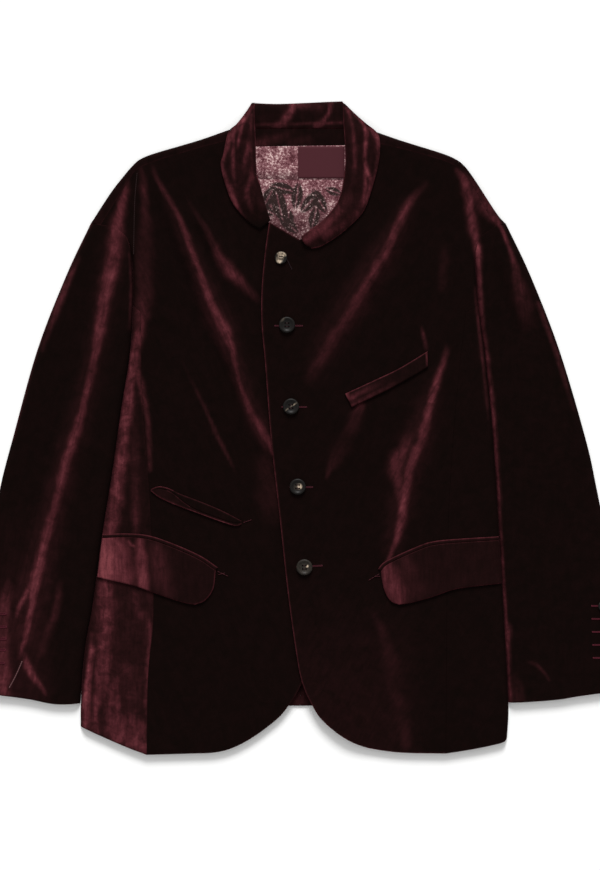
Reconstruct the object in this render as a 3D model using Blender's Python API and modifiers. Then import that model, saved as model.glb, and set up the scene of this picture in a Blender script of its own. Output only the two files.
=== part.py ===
"""A velvet blazer laid flat on a table, front up, with its sleeves spread a little from its sides.

The cloth lies in two layers.  The back, the under sleeves and the turned-under part of the collar are
flat on the table.  The fronts, side panels, shoulders, top sleeves and collar lie over them, and round
down to the table wherever the cloth folds under.  X runs across the garment, Y from hem to collar and Z
up from the table.  Left and right are the wearer's, so the left front is on the +X side and laps over
the right front.
"""

import math

import bmesh
import bpy
import numpy as np

for old in list(bpy.data.objects):
    bpy.data.objects.remove(old, do_unlink=True)

# Driving dimensions, in metres
WALL = 0.003  # velvet with its interlining
UNDER_WALL = 0.0025  # back and under sleeves
COLLAR_WALL = 0.0024
STAND_WALL = 0.0016
LINING_WALL = 0.0012
PATCH_WALL = 0.001
FLAP_WALL = 0.0024
LIP_WALL = 0.0016
SEAM = 0.0003  # gap left between two pieces at a seam
REST_GAP = 0.0006  # gap under a piece that lies on a shaped panel
LOFT = 0.008  # outer face of the upper layer above the table
ROLL = 0.010  # width over which a folded edge rounds down
ROLL_STEPS = 3
ROLL_SHARE = 0.4  # one rolled edge never takes more of a row than this
INSET_SHARE = 0.7  # the inner face of a narrow rolled edge starts at most this share of it further in
UNDER_INSET = 0.0045  # how far the lower layer stays inside a folded edge
COLLAR_INSET = 0.0070  # the same under the collar, which is lower
LAP_RISE = 0.0038  # how far the left front stands higher where it laps
LAP_FLAT = 0.037  # width of the lapped stretch
LAP_SLOPE = 0.055  # width over which it comes down again
HEM_TOP = -0.300  # the fronts start to sink here
HEM_REACH = 0.080
HEM_SINK = 0.003
COLLAR_LIFT = 0.0026  # room for the stand under the fall
COLLAR_RAMP = 0.012
COLLAR_FLOOR = 0.0045  # the rolled edge of the collar ends just above the lining
COLLAR_FADE = 0.28  # share of its length over which the roll opens out at the collar's point
NECK_TOP = 0.388  # the body's support fades out over the last stretch below this line
NECK_FADE = 0.034
STAND_HEIGHT = 0.0056
FOLD_FADE = 0.7  # how bluntly a fold runs out at its ends
# Shares of the armhole over which it stays a flat seam, grows into a fold and ends again
ARMHOLE_FLAT, ARMHOLE_GROWTH, ARMHOLE_CLOSE = 0.3, 0.3, 0.25
FACING_DROP = 0.005  # the facing starts this far below the back neck seam
WELD = 0.00001
SHARP_ANGLE = math.radians(50)

# Colour and roughness of each material
VELVET = ((0.045, 0.008, 0.012, 1.0), 0.9)
LINING = ((0.33, 0.14, 0.16, 1.0), 0.6)
PATCH = ((0.075, 0.020, 0.026, 1.0), 0.7)
HORN = ((0.030, 0.026, 0.022, 1.0), 0.35)

# The largest folds, as soft ridges: start x, start y, end x, end y, half width, rise
FOLDS = [
    (-0.175, 0.312, -0.034, -0.026, 0.020, 0.0050),  # right chest, shoulder to front edge
    (-0.136, 0.272, -0.052, 0.154, 0.018, 0.0030),  # right chest, beside the collar
    (0.136, 0.274, 0.024, 0.085, 0.022, 0.0045),  # left chest, towards the second button
    (0.172, 0.080, 0.101, -0.152, 0.020, 0.0045),  # left waist, welt to flap
    (-0.227, 0.191, -0.336, -0.254, 0.020, 0.0045),  # right sleeve, its whole length
    (0.241, 0.225, 0.272, 0.120, 0.018, 0.0035),  # left sleeve, below the armhole
]

# Seams and edges of the pieces as they lie, each a table of x, y
LAP_EDGE = [(-0.037, 0.247), (-0.042, 0.211), (-0.046, 0.166), (-0.046, 0.124), (-0.042, 0.079),
            (-0.035, -0.012), (-0.025, -0.102), (-0.014, -0.203), (-0.003, -0.280), (0.002, -0.304)]
LEFT_HEM = [(0.002, -0.304), (0.010, -0.324), (0.028, -0.352), (0.065, -0.3785), (0.112, -0.389),
            (0.175, -0.391)]
LEFT_LAP_TOP = [(-0.037, 0.247), (-0.001, 0.226)]
LEFT_NECKLINE = [(-0.001, 0.226), (0.019, 0.230), (0.037, 0.244), (0.055, 0.262), (0.071, 0.286),
                 (0.082, 0.344)]
LEFT_SHOULDER = [(0.082, 0.344), (0.122, 0.335), (0.162, 0.324), (0.187, 0.314), (0.204, 0.296),
                 (0.234, 0.242)]
LEFT_ARMHOLE = [(0.234, 0.242), (0.217, 0.229), (0.211, 0.212), (0.213, 0.184), (0.217, 0.148)]
LEFT_SIDE_TOP = [(0.217, 0.148), (0.199, 0.139)]
LEFT_SIDE_SEAM = [(0.199, 0.139), (0.190, 0.058), (0.182, -0.038), (0.177, -0.150), (0.175, -0.391)]
LEFT_SIDE = [(0.217, 0.148), (0.226, 0.082), (0.234, 0.002), (0.236, -0.071), (0.240, -0.138),
             (0.246, -0.230), (0.2495, -0.330), (0.2490, -0.373)]
LEFT_SIDE_HEM = [(0.175, -0.391), (0.212, -0.385), (0.243, -0.378), (0.2490, -0.373)]
LEFT_SHOULDER_FOLD = [(0.084, 0.359), (0.121, 0.346), (0.169, 0.331), (0.186, 0.324), (0.196, 0.317),
                      (0.208, 0.302), (0.236, 0.259), (0.247, 0.246)]
RIGHT_EDGE = [(-0.007, 0.226), (-0.014, 0.166), (-0.014, 0.118), (-0.004, -0.012), (0.006, -0.102),
              (0.017, -0.194), (0.022, -0.248)]
RIGHT_HEM = [(-0.184, -0.3925), (-0.133, -0.391), (-0.101, -0.3895), (-0.078, -0.383),
             (-0.053, -0.369), (-0.027, -0.349), (-0.015, -0.335), (-0.003, -0.317), (0.010, -0.288),
             (0.022, -0.248)]
RIGHT_NECKLINE = [(-0.083, 0.346), (-0.078, 0.316), (-0.071, 0.286), (-0.059, 0.259), (-0.038, 0.236),
                  (-0.007, 0.226)]
RIGHT_SHOULDER = [(-0.239, 0.244), (-0.224, 0.268), (-0.206, 0.296), (-0.189, 0.314), (-0.125, 0.335),
                  (-0.083, 0.346)]
RIGHT_ARMHOLE = [(-0.239, 0.244), (-0.224, 0.241), (-0.209, 0.230), (-0.203, 0.211), (-0.202, 0.178),
                 (-0.203, 0.148)]
RIGHT_SIDE_TOP = [(-0.203, 0.148), (-0.191, 0.139)]
RIGHT_SIDE_SEAM = [(-0.191, 0.139), (-0.189, 0.034), (-0.181, -0.071), (-0.177, -0.158),
                   (-0.176, -0.233), (-0.182, -0.293), (-0.184, -0.3925)]
RIGHT_SIDE = [(-0.203, 0.148), (-0.206, 0.091), (-0.216, 0.025), (-0.222, -0.049), (-0.239, -0.132),
              (-0.247, -0.215), (-0.257, -0.264), (-0.264, -0.3585)]
RIGHT_SIDE_HEM = [(-0.264, -0.3585), (-0.239, -0.370), (-0.208, -0.3835), (-0.184, -0.3925)]
RIGHT_SHOULDER_FOLD = [(-0.251, 0.247), (-0.229, 0.281), (-0.213, 0.302), (-0.200, 0.317),
                       (-0.191, 0.324), (-0.173, 0.331), (-0.122, 0.346), (-0.085, 0.359)]
LEFT_SLEEVE_TOP = [(0.211, 0.209), (0.217, 0.227), (0.234, 0.240), (0.248, 0.244)]
LEFT_SLEEVE_INNER = [(0.211, 0.209), (0.214, 0.184), (0.218, 0.148), (0.227, 0.082), (0.2352, 0.002),
                     (0.2372, -0.071), (0.2412, -0.138), (0.2475, -0.230), (0.2505, -0.330)]
LEFT_SLEEVE_OUTER = [(0.248, 0.244), (0.277, 0.184), (0.312, 0.094), (0.344, -0.014), (0.356, -0.068),
                     (0.370, -0.140), (0.382, -0.218), (0.392, -0.278), (0.396, -0.314)]
LEFT_CUFF = [(0.2505, -0.330), (0.276, -0.329), (0.312, -0.326), (0.336, -0.322), (0.396, -0.314)]
RIGHT_SLEEVE_TOP = [(-0.252, 0.2455), (-0.239, 0.2432), (-0.224, 0.2402), (-0.2095, 0.2285),
                    (-0.206, 0.219)]
RIGHT_SLEEVE_OUTER = [(-0.252, 0.2455), (-0.281, 0.184), (-0.316, 0.094), (-0.346, -0.014),
                      (-0.360, -0.068), (-0.374, -0.140), (-0.385, -0.218), (-0.393, -0.278),
                      (-0.396, -0.317)]
RIGHT_SLEEVE_INNER = [(-0.206, 0.219), (-0.204, 0.178), (-0.2042, 0.148), (-0.2076, 0.091),
                      (-0.2174, 0.025), (-0.2236, -0.049), (-0.2404, -0.132), (-0.2484, -0.215),
                      (-0.2584, -0.264), (-0.2652, -0.330)]
RIGHT_CUFF = [(-0.396, -0.317), (-0.353, -0.322), (-0.324, -0.326), (-0.300, -0.331), (-0.282, -0.332),
              (-0.2652, -0.330)]
RIGHT_FALL_OUTER = [(-0.058, 0.391), (-0.065, 0.380), (-0.076, 0.365), (-0.086, 0.355),
                    (-0.092, 0.329), (-0.095, 0.313), (-0.085, 0.278), (-0.074, 0.260),
                    (-0.050, 0.235)]
RIGHT_ROLL = [(-0.0545, 0.391), (-0.054, 0.367), (-0.053, 0.338), (-0.052, 0.307), (-0.048, 0.293),
              (-0.042, 0.270), (-0.039, 0.2545)]
LEFT_ROLL = [(0.0505, 0.392), (0.052, 0.367), (0.054, 0.338), (0.054, 0.314), (0.047, 0.276),
             (0.030, 0.252), (0.013, 0.238), (0.001, 0.229)]
LEFT_FALL_OUTER = [(0.055, 0.389), (0.067, 0.377), (0.080, 0.365), (0.092, 0.355), (0.096, 0.344),
                   (0.095, 0.322), (0.090, 0.299), (0.079, 0.265), (0.068, 0.250), (0.048, 0.232),
                   (0.026, 0.218), (0.014, 0.215)]
LEFT_FALL_END = [(0.001, 0.229), (0.005, 0.221), (0.014, 0.215)]
COLLAR_FOLD = [(-0.0540, 0.391), (-0.029, 0.390), (0.002, 0.391), (0.034, 0.3925), (0.0500, 0.3935)]
COLLAR_SEAM = [(-0.0536, 0.362), (0.0516, 0.362)]
RIGHT_STAND_SEAM = [(-0.076, 0.347), (-0.076, 0.316), (-0.069, 0.286), (-0.060, 0.266)]
RIGHT_STAND_ROLL = [(-0.0615, 0.347), (-0.0605, 0.316), (-0.0565, 0.290), (-0.0515, 0.270)]
LEFT_STAND_SEAM = [(0.077, 0.347), (0.0775, 0.316), (0.071, 0.290), (0.064, 0.276)]
LEFT_STAND_ROLL = [(0.0615, 0.347), (0.0615, 0.316), (0.0590, 0.294), (0.0550, 0.277)]
BACK_NECK = [(-0.083, 0.3545), (-0.056, 0.3605), (0.0, 0.3615)]  # the right half, mirrored for the left
BACK_HEM = -0.334
# Back neck pieces inside the garment, from the collar seam down: y at the right end, y at the left end
LINING_REACH = 0.066  # half width, out under the collar
FACING_FOOT = (0.338, 0.340)
YOKE_FOOT = (0.299, 0.298)
LINING_FOOT = (0.200, 0.200)
PATCH_BOX = (-0.0024, 0.3005, 0.0505, 0.3370)  # x, y of its lower right and upper left corners
RIGHT_FLAP_TOP = [(-0.230, -0.1325), (-0.211, -0.131), (-0.184, -0.133), (-0.156, -0.142),
                  (-0.122, -0.157), (-0.101, -0.171)]
RIGHT_FLAP_FOOT = [(-0.234, -0.182), (-0.197, -0.190), (-0.169, -0.200), (-0.142, -0.209),
                   (-0.126, -0.212)]
RIGHT_FLAP_END = [(-0.101, -0.171), (-0.104, -0.193), (-0.114, -0.207), (-0.126, -0.212)]
LEFT_FLAP_TOP = [(0.097, -0.172), (0.106, -0.163), (0.143, -0.146), (0.163, -0.140), (0.197, -0.137),
                 (0.231, -0.135)]
LEFT_FLAP_FOOT = [(0.119, -0.212), (0.132, -0.210), (0.158, -0.203), (0.184, -0.194), (0.210, -0.190),
                  (0.233, -0.187)]
LEFT_FLAP_END = [(0.097, -0.172), (0.0985, -0.184), (0.102, -0.197), (0.109, -0.208), (0.119, -0.212)]
WELT_TOP = [(0.054, 0.041), (0.091, 0.058), (0.120, 0.072), (0.153, 0.092)]
WELT_FOOT = [(0.062, 0.025), (0.100, 0.043), (0.130, 0.059), (0.1535, 0.073)]
TICKET_TOP = [(-0.178, -0.0715), (-0.158, -0.071), (-0.139, -0.081), (-0.109, -0.092),
              (-0.076, -0.106), (-0.070, -0.1115)]
TICKET_SLIT = [(-0.1785, -0.0735), (-0.160, -0.0785), (-0.134, -0.089), (-0.102, -0.1025),
               (-0.076, -0.112), (-0.070, -0.113)]
TICKET_FOOT = [(-0.178, -0.0755), (-0.164, -0.085), (-0.128, -0.097), (-0.095, -0.1125),
               (-0.076, -0.119), (-0.070, -0.1145)]
JET_DEPTH = 0.0045

# Buttons: x, y, radius, and the two turned profiles as shares of the radius: out, up
FRONT_BUTTONS = [(-0.0228, 0.204, 0.0075), (-0.0156, 0.1236, 0.0097), (-0.0108, 0.0258, 0.0097),
                 (-0.0028, -0.0703, 0.0097), (0.0053, -0.1668, 0.0097)]
BUTTON_PROFILE = [(0.0, 0.24), (0.62, 0.26), (0.74, 0.38), (0.90, 0.38), (1.0, 0.22), (0.80, 0.0),
                  (0.0, 0.0)]
SEAT_RINGS = (0.0, 0.4, 0.8)  # shares of the radius where the cloth under a button is felt for
SEAT_POINTS = 24
BUTTON_SIDES = 16
CUFF_BUTTONS = 5
CUFF_BUTTON_RADIUS = 0.0068
CUFF_BUTTON_SIDES = 12
LEFT_CUFF_LINE = [(0.3645, -0.2136), (0.3735, -0.2760)]  # first and last button of the row
RIGHT_CUFF_LINE = [(-0.3680, -0.2210), (-0.3775, -0.2830)]


def smooth_curve(table, per_span=8):
    """A smooth line through the points of a table, as an array of x and y."""
    known = np.array(table, float)
    known_ends = np.vstack([2 * known[0] - known[1], known, 2 * known[-1] - known[-2]])
    t = np.linspace(0, 1, per_span, endpoint=False)[:, None]
    spans = []
    for a, b, c, d in zip(known_ends, known_ends[1:], known_ends[2:], known_ends[3:]):
        bend = 2 * a - 5 * b + 4 * c - d
        twist = 3 * (b - c) + d - a
        spans.append(b + 0.5 * t * (c - a + t * (bend + t * twist)))
    return np.vstack(spans + [known[-1:]])


def spaced(line, shares):
    """Points of a line at the given shares of its length."""
    steps = np.linalg.norm(np.diff(line, axis=0), axis=1)
    reach = np.concatenate([[0], np.cumsum(steps)]) / steps.sum()
    return np.column_stack([np.interp(shares, reach, line[:, axis]) for axis in (0, 1)])


def edge(*stretches):
    """One side of a piece from tables and the number of steps along each, corners kept between them."""
    points = []
    for table, steps in stretches:
        points.append(spaced(smooth_curve(table), np.linspace(0, 1, steps + 1))[: -1])
    points.append(np.array(stretches[-1][0][-1:], float))
    return np.vstack(points)


def straight(start, end, steps):
    """A straight side of a piece between two points."""
    return edge(([tuple(start), tuple(end)], steps))


def moved_in(line, distance):
    """A line moved sideways by a distance, to its left as it runs."""
    along = np.gradient(line, axis=0)
    along /= np.linalg.norm(along, axis=1)[:, None]
    return line + distance * np.column_stack([-along[:, 1], along[:, 0]])


def distance_to(table, x, y):
    """How far points lie from the smooth line through a table."""
    line = smooth_curve(table)
    best = np.full(np.shape(x), np.inf)
    for start, end in zip(line, line[1:]):
        span = end - start
        share = ((x - start[0]) * span[0] + (y - start[1]) * span[1]) / (span @ span)
        share = np.clip(share, 0, 1)
        best = np.minimum(best, np.hypot(x - start[0] - share * span[0], y - start[1] - share * span[1]))
    return best


def ease(share):
    """A soft step from 0 to 1."""
    share = np.clip(share, 0, 1)
    return share * share * (3 - 2 * share)


def folds(x, y):
    """Height that the folds add at each point."""
    total = np.zeros(np.shape(x))
    for start_x, start_y, end_x, end_y, half_width, rise in FOLDS:
        span_x, span_y = end_x - start_x, end_y - start_y
        length = math.hypot(span_x, span_y)
        along = ((x - start_x) * span_x + (y - start_y) * span_y) / length**2
        off = ((x - start_x) * span_y - (y - start_y) * span_x) / length
        across = np.cos(0.5 * math.pi * np.clip(off / half_width, -1, 1)) ** 2
        total += rise * across * np.sin(math.pi * np.clip(along, 0, 1)) ** FOLD_FADE
    return total


def sleeve_height(x, y):
    """Outer face of the top sleeves."""
    return LOFT + folds(x, y)


def plain_height(x, y):
    """Outer face of the shoulders, side panels and right front, which sink a little towards the hem."""
    return sleeve_height(x, y) - HEM_SINK * ease((HEM_TOP - y) / HEM_REACH)


def lapped_height(x, y):
    """Outer face of the left front, which climbs over the right front along its edge."""
    line = smooth_curve(LAP_EDGE)[::-1]
    past_edge = x - np.interp(y, line[:, 1], line[:, 0])
    return plain_height(x, y) + LAP_RISE * (1 - ease((past_edge - LAP_FLAT) / LAP_SLOPE))


def side_height(side_table, height):
    """A body height that also rounds down at the folded side."""
    def rounded(x, y):
        near = np.clip(distance_to(side_table, x, y) / ROLL, 0, 1)
        return height(x, y) * np.sqrt(1 - (1 - near) ** 2)
    return rounded


def fall_height(outer_table, body_height):
    """Outer face of the collar's fall: on the body at its free edge, lifted by the stand further in."""
    def lifted(x, y):
        body = body_height(x, y) * ease((NECK_TOP - y) / NECK_FADE)
        ramp = ease(distance_to(outer_table, x, y) / COLLAR_RAMP)
        return body + REST_GAP + COLLAR_WALL + COLLAR_LIFT * ramp
    return lifted


def patch(top, bottom, left, right):
    """A net of points inside four sides that share their corners, row by row from the top."""
    u = np.linspace(0, 1, len(top))[None, :, None]
    v = np.linspace(0, 1, len(left))[:, None, None]
    ruled = (1 - v) * top[None] + v * bottom[None] + (1 - u) * left[:, None] + u * right[:, None]
    corners = (1 - v) * ((1 - u) * top[0] + u * top[-1]) + v * ((1 - u) * bottom[0] + u * bottom[-1])
    return ruled - corners


def relaxed(net, rounds):
    """A net with its inner points moved round by round, so that its rows and columns don't cross."""
    for _ in range(rounds):
        east, west, north, south = net[1:-1, 2:], net[1:-1, :-2], net[:-2, 1:-1], net[2:, 1:-1]
        across, along = 0.5 * (east - west), 0.5 * (south - north)
        a, b, c = ((p * q).sum(-1)[..., None] for p, q in ((along, along), (across, along), (across, across)))
        twist = net[2:, 2:] - net[2:, :-2] - net[:-2, 2:] + net[:-2, :-2]
        moved = net.copy()
        moved[1:-1, 1:-1] = (a * (east + west) + c * (north + south) - 0.5 * b * twist) / (2 * (a + c))
        net = moved
    return net


def turned_edge(wall, roll, steps, width):
    """Outer distance, inner distance and rise of the steps that round an edge down."""
    turn = np.linspace(0, 0.5 * math.pi, steps, endpoint=False)
    outer = width * (1 - np.cos(turn))
    inset = min(wall, INSET_SHARE * width)
    return outer, outer + roll * inset * np.cos(turn), 1 - roll * (1 - np.sin(turn))


def cloth(top, bottom, left, right, height, wall, rolls=(None, None), middle=None, floor=0.0, rounds=0):
    """Outer and inner nets of a cloth piece.  rolls gives, for the left and right side, how far each row
    rounds down to the floor, from 0 to 1, or None for a side with no such edge.  middle is a number of
    even steps across, where the top's own steps aren't used."""
    net = relaxed(patch(top, bottom, left, right), rounds)
    end_gap = 0.5 * SEAM
    outer_rows, inner_rows = [], []
    for row, line in enumerate(net):
        along = np.concatenate([[0], np.cumsum(np.linalg.norm(np.diff(line, axis=0), axis=1))])
        reach = along[-1]
        width = min(ROLL, ROLL_SHARE * reach)
        sides = []
        for roll in rolls:
            if roll is None:
                sides.append((np.zeros(1), np.zeros(1), np.ones(1), 0.0))
            else:
                sides.append((*turned_edge(wall, roll[row], ROLL_STEPS, width), width))
        start, stop = end_gap + sides[0][3], reach - end_gap - sides[1][3]
        shares = np.linspace(0, 1, middle + 1) if middle else along / reach
        inside = start + (stop - start) * shares
        keep = slice(0 if rolls[0] is not None else 1, None if rolls[1] is not None else -1)
        inside = inside[keep]
        outer_at = np.concatenate([end_gap + sides[0][0], inside, reach - end_gap - sides[1][0][::-1]])
        inner_at = np.concatenate([end_gap + sides[0][1], inside, reach - end_gap - sides[1][1][::-1]])
        rise = np.concatenate([sides[0][2], np.ones(len(inside)), sides[1][2][::-1]])
        outer, inner = spaced(line, outer_at / reach), spaced(line, inner_at / reach)
        tall = height(outer[:, 0], outer[:, 1])
        outer_rows.append(np.column_stack([outer, floor + (tall - floor) * rise]))
        inner_rows.append(np.column_stack([inner, floor + (tall - wall - floor) * rise]))
    nets = np.array(outer_rows), np.array(inner_rows)
    for points in nets:
        for first, second in ((0, 1), (-1, -2)):
            way = points[second] - points[first]
            way[:, 2] = 0
            points[first] += end_gap * way / np.linalg.norm(way, axis=1)[:, None]
    return nets


def finish(name, mesh, stuff):
    """Put a mesh in the garment's collection under its name, with its own material."""
    material = bpy.data.materials.new(name)
    material.use_nodes = True
    shader = material.node_tree.nodes["Principled BSDF"]
    shader.inputs["Base Color"].default_value, shader.inputs["Roughness"].default_value = stuff
    mesh.materials.append(material)
    piece = bpy.data.objects.new(name, mesh)
    garment.objects.link(piece)
    return piece


def sew(name, nets, stuff=VELVET):
    """A closed cloth wall between an outer and an inner net of points."""
    bm = bmesh.new()
    for points in nets:
        rows, columns = points.shape[:2]
        sheet = bmesh.ops.create_grid(bm, x_segments=columns - 1, y_segments=rows - 1, size=1)
        for vert, place in zip(sheet["verts"], points.reshape(-1, 3)):
            vert.co = place
    rims = [rim for rim in bm.edges if rim.is_boundary]
    bmesh.ops.bridge_loops(bm, edges=rims)
    bmesh.ops.recalc_face_normals(bm, faces=bm.faces[:])
    if bm.calc_volume(signed=True) < 0:
        bmesh.ops.reverse_faces(bm, faces=bm.faces[:])
    mesh = bpy.data.meshes.new(name)
    bm.to_mesh(mesh)
    bm.free()
    mesh.shade_smooth()
    mesh.set_sharp_from_angle(angle=SHARP_ANGLE)
    finish(name, mesh, stuff)


def flat(level):
    """A height that is the same everywhere."""
    return lambda x, y: np.full(np.shape(x), level)


def resting(height, wall):
    """Outer face of a piece of the given wall that lies on a panel."""
    return lambda x, y: height(x, y) + REST_GAP + wall


def button(name, x, y, radius, sides, height):
    """A turned button, seated just above the highest cloth under it."""
    around, out = np.meshgrid(np.linspace(0, 2 * math.pi, SEAT_POINTS), radius * np.array(SEAT_RINGS))
    seat = height(x + out * np.cos(around), y + out * np.sin(around)).max()
    mesh = bpy.data.meshes.new(name)
    bm = bmesh.new()
    ring = [bm.verts.new((out * radius, 0, up * radius)) for out, up in BUTTON_PROFILE]
    for upper, lower in zip(ring, ring[1:]):
        bm.edges.new((upper, lower))
    bm.to_mesh(mesh)
    bm.free()
    piece = finish(name, mesh, HORN)
    piece.location = (x, y, seat + SEAM)
    turned = piece.modifiers.new("Turned", "SCREW")
    turned.axis = "Z"
    turned.steps = turned.render_steps = sides
    turned.use_merge_vertices = True
    turned.merge_threshold = WELD


garment = bpy.data.collections.new("velvet_blazer")
bpy.context.scene.collection.children.link(garment)

# Steps along the seams, which two pieces often share, and across the pieces
ARMHOLE_ROWS, SIDE_ROWS, SHOULDER_ROWS, NECK_ROWS, LAP_TOP_ROWS, BACK_NECK_ROWS = 7, 22, 9, 8, 2, 3
FRONT_ROWS = ARMHOLE_ROWS + 1 + SIDE_ROWS
FRONT_ROUNDS = 40  # the fronts' concave necks need their nets relaxed
SIDE_COLUMNS, SHOULDER_COLUMNS = 4, 3
SLEEVE_ROWS, SLEEVE_COLUMNS, SLEEVE_MIDDLE, UNDER_COLUMNS = 24, 8, 6, 4
LINING_ROWS, LINING_COLUMNS, PATCH_STEPS = 3, 4, 2
COLLAR_ROWS, COLLAR_COLUMNS, STAND_ROWS, STAND_COLUMNS = 16, 5, 6, 2
COLLAR_BACK_ROWS, COLLAR_BACK_COLUMNS = 8, 3
POCKET_ROWS, FLAP_COLUMNS, LIP_COLUMNS = 8, 4, 2
right_body = side_height(RIGHT_SIDE, plain_height)
left_body = side_height(LEFT_SIDE, plain_height)

# Right front, whose edge is hidden under the left front, and left front, which laps over it
armhole_share = np.arange(FRONT_ROWS + 1) / ARMHOLE_ROWS
armhole_roll = ease((armhole_share - ARMHOLE_FLAT) / ARMHOLE_GROWTH)
armhole_roll *= ease((1 - armhole_share) / ARMHOLE_CLOSE)
right_front_top = edge((RIGHT_SHOULDER, SHOULDER_ROWS), (RIGHT_NECKLINE, NECK_ROWS))
right_front_side = edge((RIGHT_ARMHOLE, ARMHOLE_ROWS), (RIGHT_SIDE_TOP, 1), (RIGHT_SIDE_SEAM, SIDE_ROWS))
sew("front_right", cloth(right_front_top, edge((RIGHT_HEM, SHOULDER_ROWS + NECK_ROWS)), right_front_side,
                         edge((RIGHT_EDGE, FRONT_ROWS)), plain_height, WALL, (armhole_roll, None),
                         rounds=FRONT_ROUNDS))
left_front_top = edge((LEFT_LAP_TOP, LAP_TOP_ROWS), (LEFT_NECKLINE, NECK_ROWS - LAP_TOP_ROWS),
                      (LEFT_SHOULDER, SHOULDER_ROWS))
left_front_side = edge((LEFT_ARMHOLE, ARMHOLE_ROWS), (LEFT_SIDE_TOP, 1), (LEFT_SIDE_SEAM, SIDE_ROWS))
sew("front_left", cloth(left_front_top, edge((LEFT_HEM, SHOULDER_ROWS + NECK_ROWS)),
                        edge((LAP_EDGE, FRONT_ROWS)), left_front_side, lapped_height, WALL,
                        (None, armhole_roll), rounds=FRONT_ROUNDS))

# Side panels, folded down to the table at the garment's sides
always = np.ones(SLEEVE_ROWS + 1)  # a full fold along every row of the longest piece or a shorter one
sew("side_right", cloth(edge((RIGHT_SIDE_TOP, SIDE_COLUMNS)), edge((RIGHT_SIDE_HEM, SIDE_COLUMNS)),
                        edge((RIGHT_SIDE, SIDE_ROWS)), edge((RIGHT_SIDE_SEAM, SIDE_ROWS)),
                        plain_height, WALL, (always, None)))
sew("side_left", cloth(edge((LEFT_SIDE_TOP[::-1], SIDE_COLUMNS)), edge((LEFT_SIDE_HEM, SIDE_COLUMNS)),
                       edge((LEFT_SIDE_SEAM, SIDE_ROWS)), edge((LEFT_SIDE, SIDE_ROWS)),
                       plain_height, WALL, (None, always)))

# The back's shoulders, which come forward over the fold to the shoulder seam
for name, fold, seam in (("right", RIGHT_SHOULDER_FOLD, RIGHT_SHOULDER),
                         ("left", LEFT_SHOULDER_FOLD, LEFT_SHOULDER)):
    sew("shoulder_" + name, cloth(straight(fold[0], seam[0], SHOULDER_COLUMNS),
                                  straight(fold[-1], seam[-1], SHOULDER_COLUMNS),
                                  edge((fold, SHOULDER_ROWS)), edge((seam, SHOULDER_ROWS)),
                                  plain_height, WALL, (always, None), middle=1))

# Sleeves: a top sleeve folded down along both sides, over a flat under sleeve
for name, top, first_side, second_side, cuff in (
        ("right", RIGHT_SLEEVE_TOP, RIGHT_SLEEVE_OUTER, RIGHT_SLEEVE_INNER, RIGHT_CUFF),
        ("left", LEFT_SLEEVE_TOP, LEFT_SLEEVE_INNER, LEFT_SLEEVE_OUTER, LEFT_CUFF)):
    first, second = edge((first_side, SLEEVE_ROWS)), edge((second_side, SLEEVE_ROWS))
    sew("sleeve_top_" + name, cloth(edge((top, SLEEVE_COLUMNS)), edge((cuff, SLEEVE_COLUMNS)), first, second,
                                    sleeve_height, WALL, (always, always), middle=SLEEVE_MIDDLE))
    first, second = moved_in(first, UNDER_INSET), moved_in(second, -UNDER_INSET)
    sew("sleeve_under_" + name, cloth(straight(first[0], second[0], UNDER_COLUMNS),
                                      straight(first[-1], second[-1], UNDER_COLUMNS),
                                      first, second, flat(UNDER_WALL), UNDER_WALL))

# The back in two halves, flat on the table inside the folded edges, meeting at the centre back seam
for name, way, shoulder_fold, armhole, side in (
        ("right", 1, RIGHT_SHOULDER_FOLD, RIGHT_ARMHOLE, RIGHT_SIDE),
        ("left", -1, LEFT_SHOULDER_FOLD[::-1], LEFT_ARMHOLE, LEFT_SIDE)):
    shoulder = moved_in(edge((shoulder_fold, SHOULDER_ROWS)), -way * UNDER_INSET)
    neck = edge((BACK_NECK, BACK_NECK_ROWS)) * (way, 1)
    outline = moved_in(edge((armhole, ARMHOLE_ROWS), (side, SIDE_ROWS)), way * UNDER_INSET)
    outline = outline[outline[:, 1] > BACK_HEM]
    outline[0] = shoulder[0]
    outline[-1, 1] = BACK_HEM
    top = np.vstack([shoulder[:-1], neck])
    centre = straight(neck[-1], (0.0, BACK_HEM), len(outline) - 1)
    hem = straight(outline[-1], (0.0, BACK_HEM), len(top) - 1)
    sew("back_" + name, cloth(top, hem, outline, centre, flat(UNDER_WALL), UNDER_WALL))

# Inside the back neck: facing, lining yoke, lining and a plain woven patch
level = UNDER_WALL + SEAM + LINING_WALL
facing_top = BACK_NECK[-1][1] - FACING_DROP
upper = (facing_top, facing_top)
for name, foot, stuff in (("neck_facing", FACING_FOOT, VELVET), ("lining_yoke", YOKE_FOOT, LINING),
                          ("lining_back", LINING_FOOT, LINING)):
    top = [(-LINING_REACH, upper[0]), (LINING_REACH, upper[1])]
    bottom = [(-LINING_REACH, foot[0]), (LINING_REACH, foot[1])]
    sew(name, cloth(straight(*top, LINING_COLUMNS), straight(*bottom, LINING_COLUMNS),
                    straight(top[0], bottom[0], LINING_ROWS), straight(top[1], bottom[1], LINING_ROWS),
                    flat(level), LINING_WALL), stuff)
    upper = foot
low_x, low_y, high_x, high_y = PATCH_BOX
top = [(low_x, high_y), (high_x, high_y)]
bottom = [(low_x, low_y), (high_x, low_y)]
sew("neck_patch", cloth(straight(*top, PATCH_STEPS), straight(*bottom, PATCH_STEPS),
                        straight(top[0], bottom[0], PATCH_STEPS), straight(top[1], bottom[1], PATCH_STEPS),
                        flat(level + SEAM + PATCH_WALL), PATCH_WALL), PATCH)

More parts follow.
